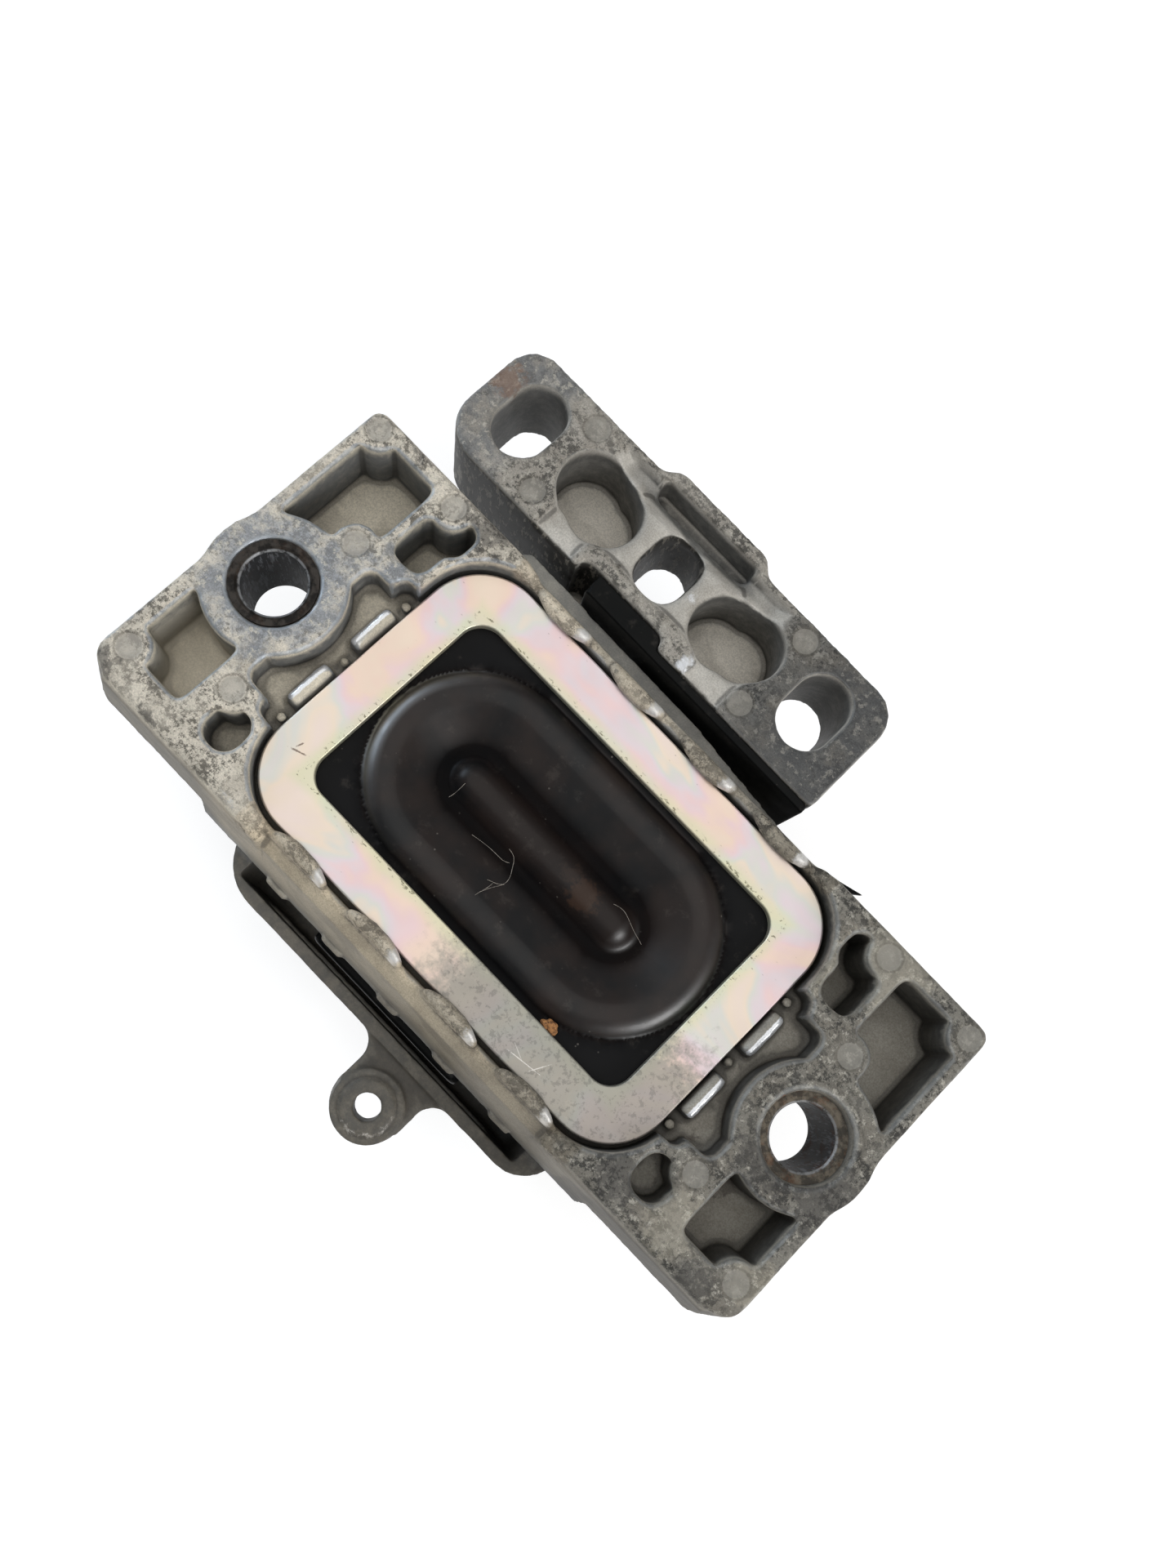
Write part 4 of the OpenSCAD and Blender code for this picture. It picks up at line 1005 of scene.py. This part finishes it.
# %% The ring's inner edge
half_length, half_width = 53.6, 29.7
centred = vector_sum(tree, "SUBTRACT", place, (0.0, unit_y * MM, 0.0))
folded = vector_sum(tree, "ABSOLUTE", centred)
past = vector_sum(tree, "SUBTRACT", folded, (half_length * MM, half_width * MM, 0.0))
from_inner = sums(tree, "MAXIMUM", axis(tree, past, "X"), axis(tree, past, "Y"))
ripple = swing(tree, clouds(tree, place, 90.0, 3.0), 3.0 * MM)
green_band = step(tree, sums(tree, "ADD", from_inner, ripple), 4.2 * MM, 0.6 * MM)
colour = lay(tree, green_band, 0.62, colour, tone(205, 208, 172))
dashes = clouds(tree, stretch(tree, place, (0.55, 1.0, 1.0)), 900.0, 3.0, 0.7)
rim = times(tree, step(tree, from_inner, 1.9 * MM, 0.9 * MM),
            step(tree, from_inner, 0.1 * MM, 0.5 * MM))
dash_mask = times(tree, step(tree, dashes, 0.56, 0.62), rim)
colour = lay(tree, dash_mask, 0.75, colour, tone(92, 88, 66))
print("green band and dashes along the inner edge")

# %% [markdown]
# At its far corner the ring is greyer and rougher, with fine dark pits: partly dull plating
# and partly painted shade for the weaker reflection there. Flecks of dirt lie everywhere, and
# a few scratches cross the flat face.

# %% The ring's dull corner, flecks and scratches
flecks = use_group(tree, dust_group, {"Place": stretch(tree, place, (0.7, 1.4, 1.0)),
                                      "Scale": 480.0, "Amount": 1.0})["Mask"]
colour = lay(tree, flecks, 0.55, colour, tone(110, 98, 90))
pitted = step(tree, clouds(tree, place, 620.0, 4.0, 0.7), 0.52, 0.62)
# Greyer far corner: dull plating with painted shade for its weaker reflection.
dull = sums(tree, "MAXIMUM", spot(tree, place, (28.0, -34.5, -5.5), 34.0, 0.7),
            times(tree, spot(tree, place, (58.0, -28.0, -5.5), 29.0, 1.2), 0.95))
colour = lay(tree, dull, 0.84, colour, tone(150, 148, 140))
colour = lay(tree, times(tree, pitted, dull), 0.40, colour, tone(100, 99, 96))

pale, softer, dark = tone(226, 222, 216), tone(214, 210, 204), tone(96, 78, 66)
for centre, angle, length, width, strength, shade in (
        ((33.0, -35.6, -5.5), 8.0, 5.5, 0.16, 0.8, pale),
        ((36.5, -34.0, -5.5), 62.0, 3.6, 0.14, 0.8, pale),
        ((30.5, -34.9, -5.5), -22.0, 3.0, 0.12, 0.6, softer),
        ((-58.7, -23.5, -5.5), 20.0, 2.6, 0.35, 0.8, dark),
        ((-59.6, -22.0, -5.5), 70.0, 1.5, 0.28, 0.8, dark)):
    stroke = scratch(tree, place, centre, angle, length, width)
    colour = lay(tree, stroke, strength, colour, shade)

smear = step(tree, clouds(tree, place, 130.0, 4.0, 0.6), 0.3, 0.7, 0.30, 0.40)
gloss = sums(tree, "ADD", smear, times(tree, dull, 0.12))
fill(tree, shader, {"Base Color": colour, "Roughness": gloss})
shader.inputs["Metallic"].default_value = 0.7
bump(tree, shader, clouds(tree, place, 1500.0, 3.0), 0.01 * MM, 0.5)
print("material", zinc_finish.name, "with", len(tree.nodes), "nodes")

# %% [markdown]
# The ring's sheet is pressed, so its edges are rounded evenly. A remesh would make its flat
# face wavy, so here the CAD faces are joined first, and a bevel rounds the sharp edges.

# %% Make the ring
ring = copy_node("clamp_ring", "plated_ring")
bm = bmesh.new()
bm.from_mesh(ring.data)
bmesh.ops.dissolve_limit(bm, angle_limit=math.radians(2), verts=bm.verts, edges=bm.edges)
sharp = [line for line in bm.edges
         if len(line.link_faces) == 2 and line.calc_face_angle() > math.radians(55)]
bmesh.ops.bevel(bm, geom=sharp, offset=0.55 * MM, offset_type="OFFSET", segments=5,
                profile=0.5, affect="EDGES", clamp_overlap=True, material=-1)
bmesh.ops.triangulate(bm, faces=bm.faces)
for side in bm.faces:
    side.smooth = abs(side.normal.z) < 0.999
bm.to_mesh(ring.data)
bm.free()
wear(ring, zinc_finish)
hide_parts("clamp_ring")
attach(ring, "root")
print("plated_ring has", len(ring.data.polygons), "triangles")

# %% [markdown]
# ## Rubber
#
# Moulded rubber is nearly black, with a soft shine and a brown bloom on the slopes that
# are stretched most. Dust and pale lint lie on it. Its bump is very fine, since the mould
# was polished.

# %% Group: rubber skin
rubber_group, takes, gives = new_group(
    "rubber_skin",
    {"Place": "place", "Bloom": "value", "Dark": "colour", "Brown": "colour"},
    {"Color": "colour", "Roughness": "value", "Height": "value"},
)
tree, place = rubber_group, takes["Place"]
broad = clouds(tree, place, 60.0, 3.0, 0.55)
bloom = times(tree, step(tree, broad, 0.30, 0.62), takes["Bloom"])
colour = blend(tree, bloom, takes["Dark"], takes["Brown"])
lint = use_group(tree, dust_group, {"Place": place, "Scale": 380.0, "Amount": 0.9})["Mask"]
haze = step(tree, clouds(tree, place, 190.0, 5.0, 0.7), 0.56, 0.74, 0.0, 0.10)
colour = blend(tree, haze, colour, tone(120, 112, 104))
colour = lay(tree, lint, 0.5, colour, tone(150, 144, 136))
rough = step(tree, clouds(tree, place, 150.0, 4.0, 0.6), 0.3, 0.7, 0.33, 0.44)
rough = sums(tree, "ADD", rough, times(tree, lint, 0.3))
height = sums(tree, "ADD", times(tree, clouds(tree, place, 1900.0, 2.0), 0.35),
              times(tree, lint, 0.5))
fill(tree, gives, {"Color": colour, "Roughness": rough, "Height": height})
print("group", rubber_group.name, "with", len(tree.nodes), "nodes")

# %% [markdown]
# The diaphragm carries four masks of its own. *flat* marks its corners, which hardly shine.
# One paints shade into the narrow folds, and *shade* paints shade into the valley and makes
# the ridge darker. *sheen* marks the slopes at the two ends that shine towards the windows.
# On a buffer, which has none of these masks, they all read as zero.

# %% Materials: rubber
def rubber(name, dark, brown, bloom, shine, stains=()):
    """A rubber material; stains are (centre, reach, strength, colour) in millimetres."""
    material, tree, shader, place = new_material(name)
    flat, shade = read_mask(tree, "flat"), read_mask(tree, "shade")
    crease_shade, sheen = read_mask(tree, "crease_shade"), read_mask(tree, "sheen")
    slopes = times(tree, sums(tree, "SUBTRACT", 1.0, flat), bloom)
    skin = use_group(tree, rubber_group, {"Place": place, "Bloom": slopes,
                                          "Dark": dark, "Brown": brown})
    colour = skin["Color"]
    for centre, reach, strength, stain in stains:
        colour = lay(tree, spot(tree, place, centre, reach, 2.2), strength, colour, stain)
    # Painted shade in the valley and on the ridge, and in the narrow folds.
    colour = lay(tree, shade, 0.45, colour, tone(9, 9, 10))
    colour = lay(tree, crease_shade, 0.8, colour, tone(6, 6, 7))
    dull = sums(tree, "ADD", times(tree, flat, 0.75), crease_shade)
    dull = sums(tree, "ADD", dull, times(tree, shade, 0.60))
    lively = sums(tree, "SUBTRACT", 1.0, sums(tree, "MINIMUM", dull, 0.9))
    lively = sums(tree, "ADD", lively, times(tree, sheen, 2.4))
    fill(tree, shader, {"Base Color": colour, "Roughness": skin["Roughness"],
                        "Specular IOR Level": times(tree, lively, shine)})
    bump(tree, shader, skin["Height"], 0.02 * MM, 0.8)
    print("material", material.name)
    return material


ridge_stains = (((14.5, 2.5, -7.0), 5.0, 0.45, tone(78, 56, 42)),
                ((9.0, 4.5, -7.0), 4.0, 0.35, tone(66, 52, 44)))
diaphragm_finish = rubber("diaphragm_rubber_finish", tone(19, 19, 20), tone(38, 30, 27),
                          0.9, 0.30, ridge_stains)
buffer_finish = rubber("buffer_rubber_finish", tone(17, 18, 18), tone(25, 25, 24), 0.5, 0.05)

# %% [markdown]
# ## The diaphragm and the buffers
#
# The diaphragm's shape is already right in the CAD model: a ridge, a valley round it and a
# rolling bead. A remesh only rounds its creases. The buffers are solid rubber inside the
# arch, and get the same rounding.

# %% Make the rubber pieces
def rubber_copy(node, name, voxel, rounds, triangles, finish):
    """A CAD node remade with the rounded edges of moulded rubber."""
    piece = copy_node(node, name)
    reskin(piece, voxel, rounds)
    count = thin_out(piece, triangles)
    wear(piece, finish)
    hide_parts(node)
    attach(piece, "root")
    print(name, "from", count, "to", len(piece.data.polygons), "triangles")
    return piece


diaphragm = rubber_copy("diaphragm", "diaphragm_rubber", 0.5 * MM, 3, 120000, diaphragm_finish)
for node, voxel in {"arm_buffer": 0.5, "back_buffer": 0.9, "rebound_buffer": 0.9,
                    "side_buffer_left": 0.9, "side_buffer_right": 0.9,
                    "main_spring": 1.0, "edge_lip": 0.25}.items():
    rubber_copy(node, node + "_rubber", voxel * MM, 2, 30000, buffer_finish)

# %% [markdown]
# The ridge and the bead are both drawn round one straight line, the spine. So the distance
# from it, and the slope away from it, are enough to find every part of the diaphragm.

# %% The diaphragm's masks
spine_half, bead_half = 25.0, 29.0
points, normals = points_and_normals(diaphragm.data)
x, y, _ = points.T / MM
on_middle = rise(-np.abs(y - unit_y), -13, -10) * rise(-np.abs(x), -48, -44)
melt(diaphragm.data, 10, on_middle * rise(normals[:, 2], -0.2, 0.2))
# Painted shade in the narrow folds.
add_mask(diaphragm.data, "crease_shade", np.clip(-bend_of(diaphragm.data, 10, 0.10 * MM), 0, 1))

from_spine = np.stack([x - np.clip(x, -spine_half, spine_half), y - unit_y], axis=1)
away = np.hypot(*from_spine.T)
flat = rise(normals[:, 2], 0.97, 0.995) * rise(away, bead_half - 1.5, bead_half)
add_mask(diaphragm.data, "flat", flat)
outwards = (from_spine * normals[:, :2]).sum(axis=1) / away.clip(0.1)
ends = rise(np.abs(normals[:, 0]), 0.10, 0.45) * rise(np.abs(x), 12.0, 30.0)
ends = ends * np.where(x < 0, 1.8 * rise(away, 14.0, 18.0), 0.75)
add_mask(diaphragm.data, "sheen", rise(outwards, 0.02, 0.35) * ends)
# Painted shade in the valley, and a darker ridge.
on_ridge = 0.50 * rise(-away, -6.5, -4.5)
add_mask(diaphragm.data, "shade", np.maximum(bell(away - 8.5, 3.0), on_ridge))
print("crease, flat, sheen and shade on", len(points), "points")

# %% [markdown]
# ## Steel sleeves and the hidden stack
#
# A steel sleeve lines each bolt hole. Its face is dark brown-black from old oil and rust,
# its inner edge is bright where the bolt rubbed it, and its wall is scratched lengthwise.
# The tray, cover, membrane and carrier are hidden under the ring, and still get finishes
# of their own for whoever takes the part apart.

# %% Material: worn sleeve steel
def sleeve_steel(name, centre_x, face_z, rust_strength, dark, pale):
    """Steel whose wear follows the distance from the bolt's axis."""
    material, tree, shader, place = new_material(name)
    level = vector_sum(tree, "MULTIPLY", place, (1.0, 1.0, 0.0))
    out = vector_sum(tree, "DISTANCE", level, (centre_x * MM, 0.0, 0.0))
    height = axis(tree, place, "Z")
    near_face = step(tree, height, (face_z - 1.6) * MM, (face_z - 0.8) * MM)
    grime_and_shade = clouds(tree, place, 380.0, 5.0, 0.7)
    lines = clouds(tree, stretch(tree, place, (1.0, 1.0, 0.15)), 900.0, 3.0, 0.7)
    face = blend(tree, step(tree, grime_and_shade, 0.40, 0.60), dark, pale)
    wall = blend(tree, step(tree, lines, 0.50, 0.62), tone(30, 31, 33), tone(98, 100, 104))
    colour = blend(tree, near_face, wall, face)
    rub = times(tree, step(tree, out, 8.9 * MM, 8.5 * MM), near_face)
    rub = times(tree, rub, step(tree, grime_and_shade, 0.34, 0.56))
    colour = lay(tree, rub, 0.8, colour, tone(170, 172, 174))
    rust = clouds(tree, shifted(tree, place, (0.5, 0.1, 0.3)), 260.0, 5.0, 0.7)
    rust = times(tree, step(tree, rust, 0.50, 0.66), rust_strength)
    colour = blend(tree, rust, colour, tone(112, 74, 50))
    fill(tree, shader, {
        "Base Color": colour, "Metallic": times(tree, rub, 0.6),
        "Roughness": sums(tree, "ADD", 0.50, times(tree, rust, 0.3)),
        "Specular IOR Level": sums(tree, "ADD", 0.04, times(tree, near_face, 0.04))})
    bump(tree, shader, sums(tree, "ADD", grime_and_shade, lines), 0.05 * MM, 0.7)
    return material


def dress(node, material):
    """Gives a CAD node that stays a finish of its own."""
    wear(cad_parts[node], material)


dress("sleeve_left", sleeve_steel("left_sleeve_finish", -bolt_x, -0.4, 0.08,
                                  tone(30, 28, 26), tone(60, 56, 52)))
dress("sleeve_right", sleeve_steel("right_sleeve_finish", bolt_x, -3.0, 0.4,
                                   tone(70, 66, 60), tone(112, 104, 92)))
print("sleeves dressed")


# %% Finishes of the hidden stack
def pressed_metal(name, base, dark, rough, metal):
    """A plain metal with faint clouds and fine grain."""
    material, tree, shader, place = new_material(name)
    cloud = step(tree, clouds(tree, place, 90.0, 4.0, 0.6), 0.3, 0.7)
    grain = clouds(tree, place, 1400.0, 3.0)
    fill(tree, shader, {"Base Color": lay(tree, cloud, 0.6, base, dark),
                        "Roughness": step(tree, grain, 0.2, 0.8, rough - 0.06, rough + 0.06)})
    shader.inputs["Metallic"].default_value = metal
    bump(tree, shader, grain, 0.02 * MM, 0.6)
    return material


dress("track_tray", pressed_metal("tray_finish", tone(122, 122, 120), tone(100, 100, 98), 0.5, 0.6))
dress("track_cover", pressed_metal("cover_finish", tone(140, 142, 144), tone(118, 120, 122), 0.4, 0.8))
dress("spring_carrier",
      pressed_metal("carrier_finish", tone(134, 132, 126), tone(112, 110, 104), 0.55, 0.6))
dress("decoupler_membrane", buffer_finish)
print("stack dressed")

# %% [markdown]
# ## Lint and a crumb of rust
#
# Two things lie on the rubber in the photograph: a few pale hairs and a small orange
# crumb. They are tiny, and they tell the eye how large the object is. A hair is a curve
# with a round section, turned into a mesh, and the crumb is a sphere pushed about by waves.

# %% Material: lint, and the surface that it lies on
lint_finish, tree, shader, place = new_material("lint_finish")
shade = step(tree, clouds(tree, place, 800.0, 2.0), 0.3, 0.7)
fill(tree, shader, {"Base Color": blend(tree, shade, tone(158, 150, 140), tone(104, 98, 92))})
shader.inputs["Roughness"].default_value = 0.6

hair_thickness, hair_lift = 0.13, 0.25
under = BVHTree.FromPolygons([v.co for v in diaphragm.data.vertices],
                             [side.vertices for side in diaphragm.data.polygons])
print("a hair will be", hair_thickness, "mm thick")


# %% A helper that lays a hair on the rubber
def hair(name, route):
    """A thin hair that lies on the rubber along a route of (x, y) in millimetres."""
    curve = bpy.data.curves.new(name, "CURVE")
    curve.dimensions = "3D"
    curve.bevel_depth = hair_thickness / 2 * MM
    curve.bevel_resolution = 1
    curve.resolution_u = 8
    curve.use_fill_caps = True
    line = curve.splines.new("NURBS")
    line.points.add(len(route) - 1)
    for point, (x, y) in zip(line.points, route):
        hit = under.ray_cast(Vector((x * MM, y * MM, 0)), Vector((0, 0, -1)))[0]
        point.co = (x * MM, y * MM, hit.z + hair_lift * MM, 1.0)
    line.use_endpoint_u = True
    line.order_u = 3
    trial = bpy.data.objects.new(name, curve)
    scene.collection.objects.link(trial)
    graph = bpy.context.evaluated_depsgraph_get()
    mesh = bpy.data.meshes.new_from_object(trial.evaluated_get(graph))
    bpy.data.objects.remove(trial)
    piece = bpy.data.objects.new(name, mesh)
    scene.collection.objects.link(piece)
    mesh.shade_smooth()
    wear(piece, lint_finish)
    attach(piece, "root")
    return piece


print("helper ready: hair")

# %% Lay the hairs
hair("hair_long", [(-15.5, -6.4), (-12.7, -5.8), (-9.9, -5.4), (-6.8, -5.3), (-5.2, -5.2),
                   (-4.0, -4.5)])
hair("hair_hook", [(-6.5, -2.2), (-5.0, -2.3), (-3.6, -3.2), (-2.6, -4.8), (-1.6, -6.3),
                   (-1.0, -7.9), (-1.1, -9.5), (-2.1, -10.4), (-3.3, -11.0), (-4.7, -11.6)])
hair("hair_tail", [(-1.0, -9.3), (-1.8, -10.9), (-2.7, -12.5), (-3.3, -14.1), (-3.8, -15.3),
                   (-3.9, -16.6)])
hair("hair_barb", [(-3.1, -11.2), (-3.1, -12.5), (-3.5, -14.4)])
hair("hair_ridge", [(21.2, 6.8), (22.8, 7.5), (24.5, 7.6), (26.1, 7.1), (28.1, 6.4), (30.2, 5.9),
                    (31.7, 5.7), (33.3, 5.2)])
hair("hair_left", [(-26.3, -4.0), (-26.0, -2.8), (-25.8, -1.4), (-25.7, -0.0), (-25.7, 0.9)])
print("hairs made on the diaphragm")

# %% Make the crumb
crumb_finish, tree, shader, place = new_material("crumb_finish")
shade = step(tree, clouds(tree, place, 1200.0, 4.0, 0.7), 0.35, 0.65)
fill(tree, shader, {"Base Color": blend(tree, shade, tone(96, 62, 36), tone(168, 118, 70))})
shader.inputs["Roughness"].default_value = 0.85
bump(tree, shader, clouds(tree, place, 2600.0, 3.0), 0.1 * MM, 0.9)

crumb_place = Vector((31.5, -25.1, -7.2)) * MM
crumb_half = (2.1, 1.4, 0.9)
crumb_mesh = bpy.data.meshes.new("rust_crumb")
bm = bmesh.new()
bmesh.ops.create_icosphere(bm, subdivisions=4, radius=1.0 * MM)
for vert in bm.verts:
    way = vert.co.normalized()
    coarse = 0.28 * math.sin(4.1 * way.x + 2.2) * math.sin(3.7 * way.y)
    knobs = 0.16 * math.sin(9.3 * way.z + 5.1 * way.x)
    lump = 1 + coarse + knobs
    vert.co = crumb_place + Vector([w * half for w, half in zip(way, crumb_half)]) * lump * MM
bm.to_mesh(crumb_mesh)
bm.free()
crumb_mesh.shade_smooth()
crumb = bpy.data.objects.new("rust_crumb", crumb_mesh)
scene.collection.objects.link(crumb)
wear(crumb, crumb_finish)
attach(crumb, "root")
print("crumb of", len(crumb_mesh.polygons), "triangles")

# %% [markdown]
# ## Floor, light and world
#
# The photograph has a plain white ground. The floor and the world show as white to the
# camera and in reflections through Light Path, and send out only a plain, soft light
# otherwise. Three large lamps stand for a bright ceiling and the windows on both sides.

# %% Floor
floor_finish = bpy.data.materials.new("floor_finish")
floor_finish.use_nodes = True
tree = floor_finish.node_tree
tree.nodes.clear()
rays = put(tree, "ShaderNodeLightPath").outputs
seen = sums(tree, "MAXIMUM", rays["Is Camera Ray"], rays["Is Glossy Ray"])
seen = sums(tree, "MAXIMUM", seen, rays["Is Transmission Ray"])
matt = put(tree, "ShaderNodeBsdfDiffuse", {"Color": (0.45, 0.45, 0.45, 1.0)})
glow = put(tree, "ShaderNodeEmission", {"Color": (1.0, 1.0, 1.0, 1.0),
                                        "Strength": times(tree, seen, 0.70)})
both = put(tree, "ShaderNodeAddShader", {0: matt.outputs[0], 1: glow.outputs[0]})
put(tree, "ShaderNodeOutputMaterial", {"Surface": both.outputs[0]})

bm = bmesh.new()
bmesh.ops.create_grid(bm, x_segments=1, y_segments=1, size=4.0)
bmesh.ops.translate(bm, verts=bm.verts, vec=(0, 0, cad_low[2] - 0.5 * MM))
floor_mesh = bpy.data.meshes.new("floor")
bm.to_mesh(floor_mesh)
bm.free()
floor = bpy.data.objects.new("floor", floor_mesh)
scene.collection.objects.link(floor)
floor_mesh.materials.append(floor_finish)
print("floor at", round(cad_low[2] / MM - 0.5, 1), "mm")

# %% World
world = bpy.data.worlds.new("studio")
scene.world = world
world.use_nodes = True
tree = world.node_tree
tree.nodes.clear()
rays = put(tree, "ShaderNodeLightPath").outputs
lit = put(tree, "ShaderNodeBackground", {"Color": (0.96, 0.98, 1.0, 1.0), "Strength": 0.25})
white = put(tree, "ShaderNodeBackground", {"Color": (1.0, 1.0, 1.0, 1.0), "Strength": 1.0})
pick = put(tree, "ShaderNodeMixShader",
           {0: rays["Is Camera Ray"], 1: lit.outputs[0], 2: white.outputs[0]})
put(tree, "ShaderNodeOutputWorld", {"Surface": pick.outputs[0]})
print("world", world.name)


# %% Lamps
def lamp(name, place, target, size, power, colour):
    """A large rectangular lamp that faces a target."""
    light = bpy.data.lights.new(name, "AREA")
    light.shape = "RECTANGLE"
    light.size, light.size_y = size
    light.energy = power
    light.color = colour
    thing = bpy.data.objects.new(name, light)
    thing.location = place
    thing.rotation_mode = "QUATERNION"
    thing.rotation_quaternion = (Vector(target) - Vector(place)).to_track_quat("-Z", "Y")
    thing.visible_camera = False
    scene.collection.objects.link(thing)


middle = (0.0, 0.01, -0.02)
lamp("ceiling", (-0.10, 0.15, 1.30), middle, (2.0, 2.0), 12.5, (1.0, 0.985, 0.96))
lamp("window", (1.00, -0.15, 0.55), middle, (0.7, 0.5), 7.0, (1.0, 1.0, 1.0))
lamp("sky_side", (-0.95, -0.05, 0.42), middle, (0.6, 0.4), 3.6, (0.74, 0.86, 1.0))
print("floor, world and", len(bpy.data.lights), "lamps ready")
